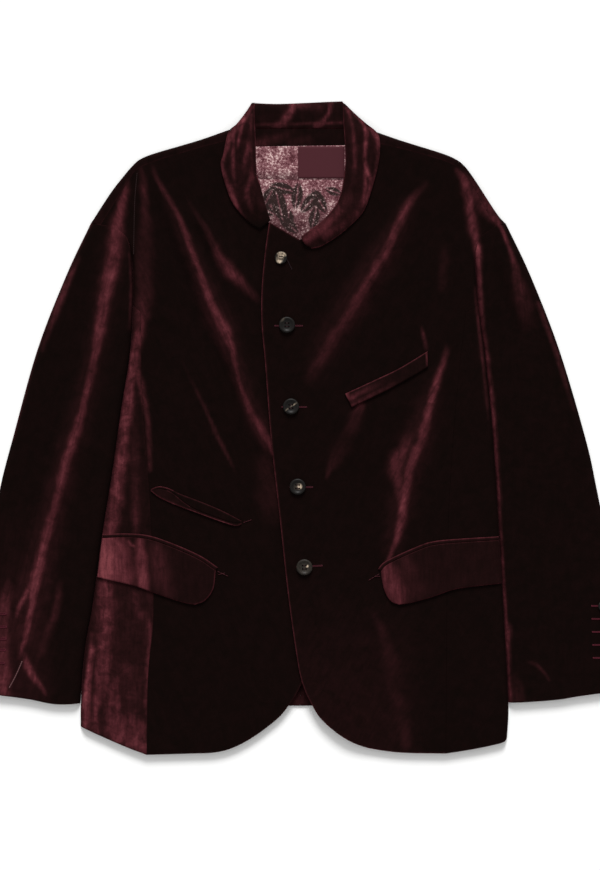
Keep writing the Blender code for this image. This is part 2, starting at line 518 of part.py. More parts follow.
# Collar: the stand inside and the fall outside, in a right, a back and a left stretch
collar_roll = ease(np.linspace(1, 0, COLLAR_ROWS + 1) / COLLAR_FADE)
sew("collar_fall_right", cloth(straight(RIGHT_FALL_OUTER[0], RIGHT_ROLL[0], COLLAR_COLUMNS),
                               straight(RIGHT_FALL_OUTER[-1], RIGHT_ROLL[-1], COLLAR_COLUMNS),
                               edge((RIGHT_FALL_OUTER, COLLAR_ROWS)), edge((RIGHT_ROLL, COLLAR_ROWS)),
                               fall_height(RIGHT_FALL_OUTER, plain_height), COLLAR_WALL,
                               (None, collar_roll), floor=COLLAR_FLOOR))
sew("collar_fall_left", cloth(straight(LEFT_ROLL[0], LEFT_FALL_OUTER[0], COLLAR_COLUMNS),
                              edge((LEFT_FALL_END, COLLAR_COLUMNS)), edge((LEFT_ROLL, COLLAR_ROWS)),
                              edge((LEFT_FALL_OUTER, COLLAR_ROWS)),
                              fall_height(LEFT_FALL_OUTER, lapped_height), COLLAR_WALL,
                              (collar_roll, None), floor=COLLAR_FLOOR))
fold_line = edge((COLLAR_FOLD, COLLAR_BACK_ROWS))
seam_line = edge((COLLAR_SEAM, COLLAR_BACK_ROWS))
sew("collar_stand_back", cloth(straight(fold_line[0], seam_line[0], COLLAR_BACK_COLUMNS),
                               straight(fold_line[-1], seam_line[-1], COLLAR_BACK_COLUMNS),
                               fold_line, seam_line, flat(STAND_HEIGHT), COLLAR_WALL, (always, None)))
under_fold = moved_in(fold_line, -COLLAR_INSET)
sew("collar_fall_back", cloth(straight(under_fold[0], seam_line[0], STAND_COLUMNS),
                              straight(under_fold[-1], seam_line[-1], STAND_COLUMNS),
                              under_fold, seam_line, flat(UNDER_WALL), UNDER_WALL))
for name, seam, roll_side in (("right", RIGHT_STAND_SEAM, RIGHT_STAND_ROLL),
                              ("left", LEFT_STAND_SEAM, LEFT_STAND_ROLL)):
    first, second = edge((seam, STAND_ROWS)), edge((roll_side, STAND_ROWS))
    sew("collar_stand_" + name, cloth(straight(first[0], second[0], STAND_COLUMNS),
                                      straight(first[-1], second[-1], STAND_COLUMNS), first, second,
                                      resting(plain_height, STAND_WALL), STAND_WALL))

# Hip pockets: a flap under a narrow jet on each side
right_ends = (straight(RIGHT_FLAP_TOP[0], RIGHT_FLAP_FOOT[0], FLAP_COLUMNS),
              edge((RIGHT_FLAP_END, FLAP_COLUMNS)))
left_ends = (edge((LEFT_FLAP_END, FLAP_COLUMNS)),
             straight(LEFT_FLAP_TOP[-1], LEFT_FLAP_FOOT[-1], FLAP_COLUMNS))
for name, top, foot, ends, body in (("right", RIGHT_FLAP_TOP, RIGHT_FLAP_FOOT, right_ends, right_body),
                                    ("left", LEFT_FLAP_TOP, LEFT_FLAP_FOOT, left_ends, left_body)):
    seam = edge((top, POCKET_ROWS))
    sew("flap_" + name, cloth(seam, edge((foot, POCKET_ROWS)), *ends, resting(body, FLAP_WALL), FLAP_WALL))
    jet = moved_in(seam, JET_DEPTH)
    sew("jet_" + name, cloth(jet, seam, straight(jet[0], seam[0], LIP_COLUMNS),
                             straight(jet[-1], seam[-1], LIP_COLUMNS), resting(body, LIP_WALL), LIP_WALL))

# Chest welt on the left front, and the two lips of the ticket pocket on the right front
for name, top, foot, wall in (("chest_welt", WELT_TOP, WELT_FOOT, FLAP_WALL),
                              ("ticket_lip_upper", TICKET_TOP, TICKET_SLIT, LIP_WALL),
                              ("ticket_lip_lower", TICKET_SLIT, TICKET_FOOT, LIP_WALL)):
    first, second = edge((top, POCKET_ROWS)), edge((foot, POCKET_ROWS))
    sew(name, cloth(first, second, straight(first[0], second[0], LIP_COLUMNS),
                    straight(first[-1], second[-1], LIP_COLUMNS), resting(plain_height, wall), wall))

# Buttons: five down the front and a close row of five on each cuff
for number, (x, y, radius) in enumerate(FRONT_BUTTONS, 1):
    button(f"front_button_{number}", x, y, radius, BUTTON_SIDES, lapped_height)
for name, (first, last) in (("right", RIGHT_CUFF_LINE), ("left", LEFT_CUFF_LINE)):
    for number, share in enumerate(np.linspace(0, 1, CUFF_BUTTONS), 1):
        x, y = (1 - share) * np.array(first) + share * np.array(last)
        button(f"cuff_button_{name}_{number}", x, y, CUFF_BUTTON_RADIUS, CUFF_BUTTON_SIDES, sleeve_height)
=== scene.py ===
"""The looks of a velvet blazer laid flat, front up: cloth, sewing, lining, horn buttons, ground and light.

Lengths are in metres, but the rows inside mm() and crease() are in millimetres.  X runs across the garment, Y
from hem to collar and Z up from the ground.  Left and right are the wearer's, so the left front is on the +X
side and laps over the right front.
"""

import math

import bmesh
import bpy
import numpy as np
from mathutils import Matrix, Vector


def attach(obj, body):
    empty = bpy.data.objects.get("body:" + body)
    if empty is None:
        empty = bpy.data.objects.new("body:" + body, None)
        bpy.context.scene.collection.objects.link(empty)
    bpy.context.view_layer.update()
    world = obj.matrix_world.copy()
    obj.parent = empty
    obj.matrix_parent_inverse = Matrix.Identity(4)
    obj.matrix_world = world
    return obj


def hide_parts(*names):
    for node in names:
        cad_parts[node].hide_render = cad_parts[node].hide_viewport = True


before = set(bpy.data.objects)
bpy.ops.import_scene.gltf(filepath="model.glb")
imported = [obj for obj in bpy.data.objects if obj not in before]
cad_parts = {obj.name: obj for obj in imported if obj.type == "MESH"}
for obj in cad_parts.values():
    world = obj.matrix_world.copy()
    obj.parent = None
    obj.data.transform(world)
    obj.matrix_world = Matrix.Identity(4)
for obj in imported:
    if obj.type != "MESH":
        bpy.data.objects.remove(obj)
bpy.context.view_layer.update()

# Ground, light and camera.  The garment lies on a plain white sheet under a soft even sky, with one broad
# lamp beyond the collar that leaves a soft shadow below the hems.  The camera looks straight down.
GROUND_SIZE = 12.0
GROUND_LEVEL = -0.0004
GROUND_WHITE, GROUND_ROUGHNESS, GROUND_SPECULAR = (0.93, 0.93, 0.925, 1.0), 0.9, 0.1
SKY_WHITE, SKY_STRENGTH = (1.0, 1.0, 1.0, 1.0), 0.62
LAMP_STRENGTH = 3.5
LAMP_TILT = math.radians(60)  # from overhead, towards the collar
LAMP_SPREAD = math.radians(24)
PICTURE_HEIGHT = 1.044  # how much ground the picture takes in
PICTURE_MIDDLE = (0.0, -0.0084)
CLOTH_LEVEL = 0.008  # the distance is measured to the top of the cloth
LENS, FILM = 100.0, 36.0  # millimetres


def set_inputs(tree, node, inputs):
    """Set a shader node's inputs to values, or link them to other nodes' outputs."""
    for key, value in inputs.items():
        if isinstance(value, bpy.types.NodeSocket):
            tree.links.new(value, node.inputs[key])
        else:
            node.inputs[key].default_value = value


def new_material(name):
    """A material with its node tree and its main shader."""
    material = bpy.data.materials.new(name)
    material.use_nodes = True
    return material, material.node_tree, material.node_tree.nodes["Principled BSDF"]


def new_mesh(name, bm, material):
    """A mesh of one material from what has been modelled."""
    mesh = bpy.data.meshes.new(name)
    bm.to_mesh(mesh)
    bm.free()
    mesh.materials.append(material)
    return mesh


def new_object(name, data):
    """An object in the scene for a mesh, a lamp or a camera."""
    thing = bpy.data.objects.new(name, data)
    bpy.context.collection.objects.link(thing)
    return thing


paper, tree, shader = new_material("white_sheet")
set_inputs(tree, shader, {"Base Color": GROUND_WHITE, "Roughness": GROUND_ROUGHNESS,
                          "Specular IOR Level": GROUND_SPECULAR})
bm = bmesh.new()
bmesh.ops.create_grid(bm, x_segments=2, y_segments=2, size=GROUND_SIZE)
bmesh.ops.translate(bm, verts=bm.verts, vec=(0, 0, GROUND_LEVEL))
ground = new_object("ground", new_mesh("ground", bm, paper))

sky = bpy.data.worlds.new("soft_sky")
sky.use_nodes = True
set_inputs(sky.node_tree, sky.node_tree.nodes["Background"], {"Color": SKY_WHITE, "Strength": SKY_STRENGTH})
bpy.context.scene.world = sky
bpy.context.scene.view_settings.view_transform = "Standard"

lamp = bpy.data.lights.new("broad_lamp", "SUN")
lamp.energy = LAMP_STRENGTH
lamp.angle = LAMP_SPREAD
lamp_stand = new_object("broad_lamp", lamp)
lamp_stand.rotation_euler = (-LAMP_TILT, 0, 0)

lens = bpy.data.cameras.new("overhead_camera")
lens.lens = LENS
lens.sensor_width = FILM
camera = new_object("overhead_camera", lens)
camera.location = (*PICTURE_MIDDLE, CLOTH_LEVEL + PICTURE_HEIGHT * LENS / FILM)
bpy.context.scene.camera = camera

# Back.  Two halves of velvet joined down the centre back, flat on the ground under the fronts.  They end
# inside the folded edges of the garment and show only in the gap below the fronts and from beneath.
STEP = 0.0026  # spacing of the cloth's points
UNDER_WALL = 0.0025
UNDER_INSET = 0.0045  # how far the lower layer stays inside a folded edge
SEAM = 0.0001  # gap between two pieces at a seam
EDGE_AT = np.array((0.0, 0.0004, 0.0010, 0.0018))  # a turned edge rounds off over these distances
EDGE_DROP = np.array((0.0011, 0.0005, 0.0002, 0.0))
EDGE_ROW = 0.9  # on a narrow piece those distances shrink to this share of its first row
TURNED, SEWN = 1.0, 0.12  # how much of that a turned edge and a pressed seam take
ROLL = 0.010  # width over which a folded edge rounds down to the ground
ROLL_STEPS = 7
ROLL_SHARE = 0.4  # one rolled edge never takes more of a row than this
INSET_SHARE = 0.7  # the inner face of a roll stays within this share of its width


def mm(*rows):
    """Rows of a table written in millimetres, in metres."""
    return [tuple(value / 1000 for value in row) for row in rows]


def crease(rise, lean, *rows):
    """A crease's rise, lean to the left, and rows of x, y, half width, sheen; lengths in millimetres."""
    return rise / 1000, lean, [(x / 1000, y / 1000, half / 1000, sheen) for x, y, half, sheen in rows]


BACK_HEM = -0.334
BACK_NECK = mm((-83, 354.5), (-56, 360.5), (0, 361.5))  # the right half, mirrored for the left
RIGHT_SHOULDER_FOLD = mm((-251, 247), (-229, 281), (-213, 302), (-200, 317), (-191, 324), (-173, 331),
                         (-122, 346), (-85, 359))
LEFT_SHOULDER_FOLD = mm((84, 359), (121, 346), (169, 331), (186, 324), (196, 317), (208, 302), (236, 259),
                        (247, 246))
RIGHT_ARMHOLE = mm((-239, 244), (-224, 241), (-209, 230), (-203, 211), (-201, 178), (-201, 148))
LEFT_ARMHOLE = mm((234, 242), (217, 229), (211, 212), (212, 184), (214.5, 148))
RIGHT_SIDE = mm((-201, 148), (-204.5, 91), (-215, 25), (-225.5, -49), (-238.7, -132), (-250, -215),
                (-258.8, -264), (-263.5, -325), (-264, -358.5))
LEFT_SIDE = mm((214.5, 148), (223.5, 82), (231.5, 2), (236.6, -71), (240.5, -138), (245.8, -230),
               (250.8, -330), (249, -373))
CRISP = 1.35  # above 1 a crease has a flatter top and sharper sides than a bell
WAVER = 0.07  # how much a crease's width wavers along its length, on each flank by itself
WAVER_LONG, WAVER_SHORT = 105.0, 260.0  # turns of that wavering, in radians a metre
WAVER_START, WAVER_SHIFT = 3, 0.03  # it starts at so many times a crease's first x, shifted between flanks
CREASE_SPANS = 4  # straight stretches between two rows of a crease
THINNEST = 0.0005  # half width of the narrowest crease
CROSSING = 0.3  # share of the weaker sheen that is added where creases cross
BACK_CREASES = [
    crease(0.7, 0, (-150, 300, 12, 0), (-110, 190, 14, 0.5), (-60, 40, 12, 0.2)),
    crease(0.7, 0, (160, 290, 12, 0), (110, 170, 16, 0.5), (70, 20, 12, 0.2)),
    crease(0.8, 0, (-190, -20, 10, 0.1), (-140, -120, 14, 0.6), (-110, -300, 12, 0.2)),
    crease(0.8, 0, (200, 20, 10, 0.1), (150, -140, 12, 0.5), (130, -310, 12, 0.2)),
]
BACK_BASE_SHEEN = 0.22  # painted sheen where there is no crease, from 0 for pile lying away from the eye to 1 for pile lying towards the light
# Painted sheen: colours of the velvet from pile that lies away from the eye, nearly black, to pile that faces
# the light
PILE_SHEEN_STOPS = [(0.00, (0.0030, 0.0019, 0.0015, 1.0)), (0.25, (0.0205, 0.0056, 0.0062, 1.0)),
              (0.50, (0.0510, 0.0115, 0.0142, 1.0)), (0.75, (0.0960, 0.0222, 0.0273, 1.0)),
              (1.00, (0.1580, 0.0380, 0.0448, 1.0))]
PILE_SHEEN, PILE_SHEEN_ROUGHNESS, PILE_SHEEN_TINT = 0.10, 0.25, (0.50, 0.16, 0.19, 1.0)
PILE_SPECULAR = 0.01
# Noise of the pile: scale, detail, roughness, distortion
BLOTCH, STREAK, GRAIN = (75.0, 6.0, 0.66, 0.5), (1.0, 4.0, 0.6, 0.0), (1500.0, 2.0, 0.7, 0.0)
WARP_STRETCH = (240.0, 40.0, 90.0)  # streaks are drawn out along the warp
TWICE, STREAK_POWER = 2.0, 0.7  # noise of about 0.5 is doubled, then bent by a power
# What noise is multiplied by and what is added
FAINT, SPECK, PILE_ROUGHNESS = (0.04, -0.011), (0.9, 0.55), (0.2, 0.8)
BLOTCH_HEIGHT = 1.5  # blotches stand taller than grain
PILE_BUMP = (0.25, 0.0006)  # strength and distance
PLAIN_CRUSH, CRUSH = 1.3, 0.9  # how blotched most pieces are, and the fronts and the right sleeve


def smooth_curve(table, per_span=6):
    """A smooth line through the rows of a table, as an array with the table's columns."""
    known = np.array(table, float)
    known_ends = np.vstack([2 * known[0] - known[1], known, 2 * known[-1] - known[-2]])
    t = np.linspace(0, 1, per_span, endpoint=False)[:, None]
    spans = []
    for a, b, c, d in zip(known_ends, known_ends[1:], known_ends[2:], known_ends[3:]):
        bend = 2 * a - 5 * b + 4 * c - d
        twist = 3 * (b - c) + d - a
        spans.append(b + 0.5 * t * (c - a + t * (bend + t * twist)))
    return np.vstack(spans + [known[-1:]])


def spaced(line, shares):
    """Points of a line at the given shares of its length."""
    steps = np.linalg.norm(np.diff(line, axis=0), axis=1)
    reach = np.concatenate([[0], np.cumsum(steps)]) / steps.sum()
    return np.column_stack([np.interp(shares, reach, line[:, axis]) for axis in (0, 1)])


def steps_along(table):
    """How many steps of the cloth's spacing a line takes."""
    line = smooth_curve(table)
    return max(2, round(np.linalg.norm(np.diff(line, axis=0), axis=1).sum() / STEP))


def side(*tables, steps=None):
    """One side of a piece along its tables, corners kept between them; steps is given for a single table."""
    points = []
    for table in tables:
        count = steps or steps_along(table)
        points.append(spaced(smooth_curve(table), np.linspace(0, 1, count + 1))[:-1])
    points.append(np.array(tables[-1][-1:], float))
    return np.vstack(points)


def straight(start, end, steps=None):
    """A straight side of a piece between two points."""
    return side([tuple(start), tuple(end)], steps=steps)


def joined(first, second, steps):
    """Straight lines between the starts and between the ends of two lines."""
    return straight(first[0], second[0], steps), straight(first[-1], second[-1], steps)


def moved_in(line, distance):
    """A line moved sideways by a distance, to its left as it runs."""
    along = np.gradient(line, axis=0)
    along /= np.linalg.norm(along, axis=1)[:, None]
    return line + distance * np.column_stack([-along[:, 1], along[:, 0]])


def ease(share):
    """A soft step from 0 to 1."""
    share = np.clip(share, 0, 1)
    return share * share * (3 - 2 * share)


def brushed(creases, x, y):
    """Height and sheen that a list of creases gives at each point."""
    lift, sheen = np.zeros(np.shape(x)), np.zeros(np.shape(x))
    for rise, lean, rows in creases:
        line = smooth_curve(rows, CREASE_SPANS)
        best = np.full(np.shape(x), np.inf)
        half, bright, turn = np.ones(np.shape(x)), np.zeros(np.shape(x)), np.zeros(np.shape(x))
        passed = WAVER_START * rows[0][0]
        for a, b in zip(line, line[1:]):
            span_x, span_y = b[:2] - a[:2]
            length = math.hypot(span_x, span_y)
            share = np.clip(((x - a[0]) * span_x + (y - a[1]) * span_y) / (span_x**2 + span_y**2), 0, 1)
            off_x, off_y = x - a[0] - share * span_x, y - a[1] - share * span_y
            away = off_x**2 + off_y**2
            near = away < best
            flank = np.sign(span_x * off_y - span_y * off_x)
            best = np.where(near, away, best)
            half = np.where(near, (a[2] + share * (b[2] - a[2])) * (1 + lean * flank), half)
            bright = np.where(near, a[3] + share * (b[3] - a[3]), bright)
            turn = np.where(near, passed + share * length + WAVER_SHIFT * flank, turn)
            passed += length
        half *= 1 + WAVER * (np.sin(WAVER_LONG * turn) + np.sin(WAVER_SHORT * turn))
        profile = np.exp(-(best / np.maximum(half, THINNEST) ** 2) ** CRISP)
        lift += rise * np.maximum(bright, 0) * profile
        sheen = np.maximum(sheen, bright * profile) + CROSSING * np.minimum(sheen, bright * profile)
    return lift, sheen


def flat(level):
    """A height that is the same everywhere."""
    return lambda x, y: np.full(np.shape(x), level)


def net_inside(top, bottom, left, right):
    """A net of points inside four sides that share their corners, row by row from the top."""
    u = np.linspace(0, 1, len(top))[None, :, None]
    v = np.linspace(0, 1, len(left))[:, None, None]
    ruled = (1 - v) * top[None] + v * bottom[None] + (1 - u) * left[:, None] + u * right[:, None]
    corners = (1 - v) * ((1 - u) * top[0] + u * top[-1]) + v * ((1 - u) * bottom[0] + u * bottom[-1])
    return ruled - corners


def relaxed(net, rounds):
    """A net with its inner points moved round by round, so that its rows and columns don't cross."""
    for _ in range(rounds):
        east, west, north, south = net[1:-1, 2:], net[1:-1, :-2], net[:-2, 1:-1], net[2:, 1:-1]
        across, along = 0.5 * (east - west), 0.5 * (south - north)
        a, b, c = ((p * q).sum(-1)[..., None] for p, q in ((along, along), (across, along), (across, across)))
        twist = net[2:, 2:] - net[2:, :-2] - net[:-2, 2:] + net[:-2, :-2]
        moved = net.copy()
        moved[1:-1, 1:-1] = (a * (east + west) + c * (north + south) - 0.5 * b * twist) / (2 * (a + c))
        net = moved
    return net


def edge_rows(net, ends):
    """Row positions with a few more rows close to the first and the last, and how far each row drops."""
    first = np.linalg.norm(net[1] - net[0], axis=1).mean()
    last = np.linalg.norm(net[-1] - net[-2], axis=1).mean()
    end = len(net) - 1
    near_first = EDGE_AT * min(1 / first, EDGE_ROW / EDGE_AT[-1])
    near_last = end - EDGE_AT[::-1] * min(1 / last, EDGE_ROW / EDGE_AT[-1])
    at = np.concatenate([near_first, np.arange(1, end), near_last])
    drop = np.concatenate([ends[0] * EDGE_DROP, np.zeros(end - 1), ends[1] * EDGE_DROP[::-1]])
    return at, drop


def cloth(sides, height, wall, rolls=(TURNED, TURNED), ends=(TURNED, TURNED), floor=0.0, sole=None, rounds=0):
    """Outer and inner nets of a cloth piece inside its top, bottom, left and right side.  rolls gives, for
    left and right, how far each row rounds down to the floor, or how sharply a plain edge is rounded off, and
    ends does the latter for top and bottom.  sole is the height of the lower face, where that is not one wall
    under the upper face; rounds relaxes the net."""
    net = relaxed(net_inside(*sides), rounds)
    at, row_drop = edge_rows(net, ends)
    below = np.minimum(at.astype(int), len(net) - 2)
    share = (at - below)[:, None, None]
    lines = (1 - share) * net[below] + share * net[below + 1]
    roll_at = [roll if np.ndim(roll) == 0 else np.interp(at, np.arange(len(roll)), roll) for roll in rolls]
    outer_net, inner_net, rises, drops = [], [], [], []
    for row, line in enumerate(lines):
        along = np.concatenate([[0], np.cumsum(np.linalg.norm(np.diff(line, axis=0), axis=1))])
        reach = along[-1]
        rims = []
        for roll in roll_at:
            if np.ndim(roll) == 0:
                out = np.minimum(EDGE_AT, ROLL_SHARE * reach * EDGE_AT / EDGE_AT[-1])
                rims.append((out, out, np.ones(len(out)), roll * EDGE_DROP))
                continue
            turn = np.linspace(0, 0.5 * math.pi, ROLL_STEPS)
            width = min(ROLL, ROLL_SHARE * reach)
            out = width * (1 - np.cos(turn))
            inset = roll[row] * min(wall, INSET_SHARE * width)
            rise = 1 - roll[row] * (1 - np.sin(turn))
            rims.append((out, out + inset * np.cos(turn), rise, np.zeros(len(out))))
        start, stop = SEAM / 2 + rims[0][0][-1], reach - SEAM / 2 - rims[1][0][-1]
        inside = (start + (stop - start) * along / reach)[1:-1]
        for face, net_rows in ((0, outer_net), (1, inner_net)):
            spots = np.concatenate([SEAM / 2 + rims[0][face], inside, reach - SEAM / 2 - rims[1][face][::-1]])
            net_rows.append(spaced(line, spots / reach))
        rises.append(np.concatenate([rims[0][2], np.ones(len(inside)), rims[1][2][::-1]]))
        rim_drop = np.concatenate([rims[0][3], np.zeros(len(inside)), rims[1][3][::-1]])
        drops.append(np.maximum(row_drop[row], rim_drop))
    outer, inner, rise, drop = (np.array(rows) for rows in (outer_net, inner_net, rises, drops))
    for points in (outer, inner):
        for first, second in ((0, 1), (-1, -2)):
            way = points[second] - points[first]
            points[first] += SEAM / 2 * way / np.linalg.norm(way, axis=1)[:, None]
    tall = height(outer[..., 0], outer[..., 1])
    upper = floor + (tall - drop - floor) * rise
    lower = floor + (tall - wall - floor) * rise if sole is None else sole(inner[..., 0], inner[..., 1])
    return np.dstack([outer, upper]), np.dstack([inner, lower])


def sew(node, nets, painted_light_and_print, material):
    """A closed cloth wall between two nets, with a value at each point for the painted light and print of its
    colour, in place of its plain solid.
    """
    bm = bmesh.new()
    for points in nets:
        rows, columns = points.shape[:2]
        sheet = bmesh.ops.create_grid(bm, x_segments=columns - 1, y_segments=rows - 1, size=1)
        for vert, place in zip(sheet["verts"], points.reshape(-1, 3)):
            vert.co = place
    bmesh.ops.bridge_loops(bm, edges=[rim for rim in bm.edges if rim.is_boundary])
    bmesh.ops.recalc_face_normals(bm, faces=bm.faces[:])
    if bm.calc_volume(signed=True) < 0:
        bmesh.ops.reverse_faces(bm, faces=bm.faces[:])
    name = "cloth_" + node
    mesh = new_mesh(name, bm, material)
    mesh.shade_smooth()
    # each point carries the painted sheen, painted shade and print that its colour takes
    painted_tone = mesh.attributes.new("painted_light_and_print", "FLOAT", "POINT")
    values = np.concatenate([painted_light_and_print(points[..., 0], points[..., 1]).ravel() for points in nets])
    painted_tone.data.foreach_set("value", np.clip(values, 0, 1).astype(np.float32))
    piece = new_object(name, mesh)
    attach(piece, "root")
    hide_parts(node)
    return piece


def lay(node, nets, painted_light_and_print, material):
    """A sewn piece that lies on others."""
    piece = sew(node, nets, painted_light_and_print, material)
    return piece


def along_line(table, x, y):
    """How far points lie from the smooth line through a table."""
    line = smooth_curve(table)
    best = np.full(np.shape(x), np.inf)
    for start, end in zip(line, line[1:]):
        span = end - start
        share = np.clip(((x - start[0]) * span[0] + (y - start[1]) * span[1]) / (span @ span), 0, 1)
        best = np.minimum(best, np.hypot(x - start[0] - share * span[0], y - start[1] - share * span[1]))
    return best


def painted_sheen_of(base, creases=(), rims=(), crushed=1.0):
    """Painted sheen over a piece: a base, what its creases add, scaled by crushed, and light along its turned
    edges.  Each edge is a line, a half width and a sheen."""
    def painted_tone(x, y):
        total = base(x, y) + crushed * brushed(creases, x, y)[1]
        for table, half_width, sheen in rims:
            total = np.maximum(total, sheen * np.exp(-(along_line(table, x, y) / half_width) ** 2))
        return total
    return painted_tone


def add_node(tree, kind, inputs, **settings):
    """A shader node with its settings made and its inputs set or linked."""
    node = tree.nodes.new("ShaderNode" + kind)
    for key, value in settings.items():
        setattr(node, key, value)
    set_inputs(tree, node, inputs)
    return node


def calc(tree, operation, *values, clamp=False):
    """The result of one sum in a node tree."""
    return add_node(tree, "Math", dict(enumerate(values)), operation=operation, use_clamp=clamp).outputs[0]


def noise(tree, place, scale, detail, roughness=0.5, distortion=0.0):
    """Cloudy noise at a place, around 0.5."""
    inputs = {"Vector": place, "Scale": scale, "Detail": detail, "Roughness": roughness,
              "Distortion": distortion}
    return add_node(tree, "TexNoise", inputs).outputs["Fac"]


def between(tree, value, low, high):
    """How far a value has come from low to high, as a share."""
    return add_node(tree, "MapRange", {"Value": value, "From Min": low, "From Max": high}).outputs[0]


def ramped(tree, share, stops):
    """The colour at a share along stops of place and colour."""
    ramp = add_node(tree, "ValToRGB", {"Fac": share})
    elements = ramp.color_ramp.elements
    elements[0].position, elements[0].color = stops[0]
    elements[1].position, elements[1].color = stops[-1]
    for place, colour in stops[1:-1]:
        elements.new(place).color = colour
    return ramp.outputs["Color"]


def shaded(tree, colour, scale):
    """A colour made darker or lighter by a scale."""
    return add_node(tree, "VectorMath", {0: colour, "Scale": scale}, operation="SCALE").outputs[0]


def bumped(tree, height, strength, distance):
    """The direction that a surface faces, bumped by a height."""
    bump = add_node(tree, "Bump", {"Strength": strength, "Distance": distance, "Height": height})
    return bump.outputs["Normal"]


def own_place(tree):
    """Where a point lies on its own piece."""
    return add_node(tree, "TexCoord", {}).outputs["Object"]


def own_value(tree, name):
    """A value that the piece's points carry."""
    return add_node(tree, "Attribute", {}, attribute_name=name).outputs["Fac"]


def make_pile():
    """Velvet pile as a group: crushed blotches, streaks along the warp and fine grain over a given painted
    sheen.
    """
    group = bpy.data.node_groups.new("velvet_pile", "ShaderNodeTree")
    for name, kind in (("Vector", "Vector"), ("Painted_Sheen", "Float"), ("Crush", "Float")):
        group.interface.new_socket(name, in_out="INPUT", socket_type="NodeSocket" + kind)
    for name, kind in (("Colour", "Color"), ("Roughness", "Float"), ("Height", "Float")):
        group.interface.new_socket(name, in_out="OUTPUT", socket_type="NodeSocket" + kind)
    given = group.nodes.new("NodeGroupInput").outputs
    drawn = add_node(group, "Mapping", {"Vector": given["Vector"], "Scale": WARP_STRETCH}).outputs["Vector"]
    blotch = noise(group, given["Vector"], *BLOTCH)
    streak = noise(group, drawn, *STREAK)
    grain = noise(group, given["Vector"], *GRAIN)
    blotches = calc(group, "MULTIPLY", blotch, TWICE)
    streaks = calc(group, "MULTIPLY", streak, TWICE)
    crushed = calc(group, "POWER", blotches, given["Crush"])
    combed = calc(group, "POWER", streaks, STREAK_POWER)
    worn = calc(group, "MULTIPLY", crushed, combed)
    bright = calc(group, "MULTIPLY", given["Painted_Sheen"], worn)
    faint = calc(group, "MULTIPLY_ADD", blotch, *FAINT)
    shown = calc(group, "ADD", bright, faint, clamp=True)
    speck = calc(group, "MULTIPLY_ADD", grain, *SPECK)
    colour = shaded(group, ramped(group, shown, PILE_SHEEN_STOPS), speck)
    rough = calc(group, "MULTIPLY_ADD", grain, *PILE_ROUGHNESS)
    tall = calc(group, "MULTIPLY_ADD", blotch, BLOTCH_HEIGHT, grain)
    result = group.nodes.new("NodeGroupOutput")
    set_inputs(group, result, {"Colour": colour, "Roughness": rough, "Height": tall})
    return group


pile = make_pile()


def make_velvet(name, lean, crush):
    """Deep red-brown velvet that reads its painted sheen from the piece.  Its streaks lean by an angle, and
    crush says how blotched it is."""
    material, tree, shader = new_material(name)
    place = own_place(tree)
    turned = add_node(tree, "VectorRotate", {"Vector": place, "Angle": lean}, rotation_type="Z_AXIS")
    inputs = {"Vector": turned.outputs["Vector"], "Painted_Sheen": own_value(tree, "painted_light_and_print"), "Crush": crush}
    surface = add_node(tree, "Group", inputs, node_tree=pile).outputs
    normal = bumped(tree, surface["Height"], *PILE_BUMP)
    set_inputs(tree, shader, {"Base Color": surface["Colour"], "Roughness": surface["Roughness"],
                              "Normal": normal, "Specular IOR Level": PILE_SPECULAR,
                              "Sheen Weight": PILE_SHEEN, "Sheen Roughness": PILE_SHEEN_ROUGHNESS,
                              "Sheen Tint": PILE_SHEEN_TINT})
    return material


velvet = make_velvet("velvet", 0.0, PLAIN_CRUSH)


def sole_with(creases):
    """A lower face on the ground, with its creases as shallow troughs."""
    return lambda x, y: brushed(creases, x, y)[0]


for hand, way, shoulder_fold, armhole, body_side in (
        ("right", 1, RIGHT_SHOULDER_FOLD, RIGHT_ARMHOLE, RIGHT_SIDE),
        ("left", -1, LEFT_SHOULDER_FOLD[::-1], LEFT_ARMHOLE, LEFT_SIDE)):
    shoulder = moved_in(side(shoulder_fold), -way * UNDER_INSET)
    neck = side(BACK_NECK) * (way, 1)
    outline = moved_in(side(armhole, body_side), way * UNDER_INSET)
    outline = outline[outline[:, 1] > BACK_HEM]
    outline[0] = shoulder[0]
    outline[-1, 1] = BACK_HEM
    top = np.vstack([shoulder[:-1], neck])
    centre = straight(neck[-1], (0.0, BACK_HEM), len(outline) - 1)
    hem = straight(outline[-1], (0.0, BACK_HEM), len(top) - 1)
    nets = cloth((top, hem, outline, centre), flat(UNDER_WALL), UNDER_WALL, (TURNED, SEWN),
                 sole=sole_with(BACK_CREASES))
    lay("back_" + hand, nets, painted_sheen_of(flat(BACK_BASE_SHEEN), BACK_CREASES), velvet)

# Fronts.  Velvet over canvas; the left front laps over the right one and is buttoned to it.  Each is cut from
# shoulder to hem, turned under along its edge, and sewn to the collar, the shoulder and the side panel.
WALL = 0.003
LOFT = 0.008  # outer face of the upper layer above the ground
LAP_RISE = 0.0038  # how far the left front stands higher where it laps
LAP_FLAT = 0.037  # width of the lapped stretch
LAP_SLOPE = 0.055  # width over which it comes down again
HEM_TOP, HEM_REACH, HEM_SINK = -0.300, 0.080, 0.0005  # the fronts sink a little towards the hem
FOLD_FADE = 0.7  # how bluntly a fold runs out at its ends
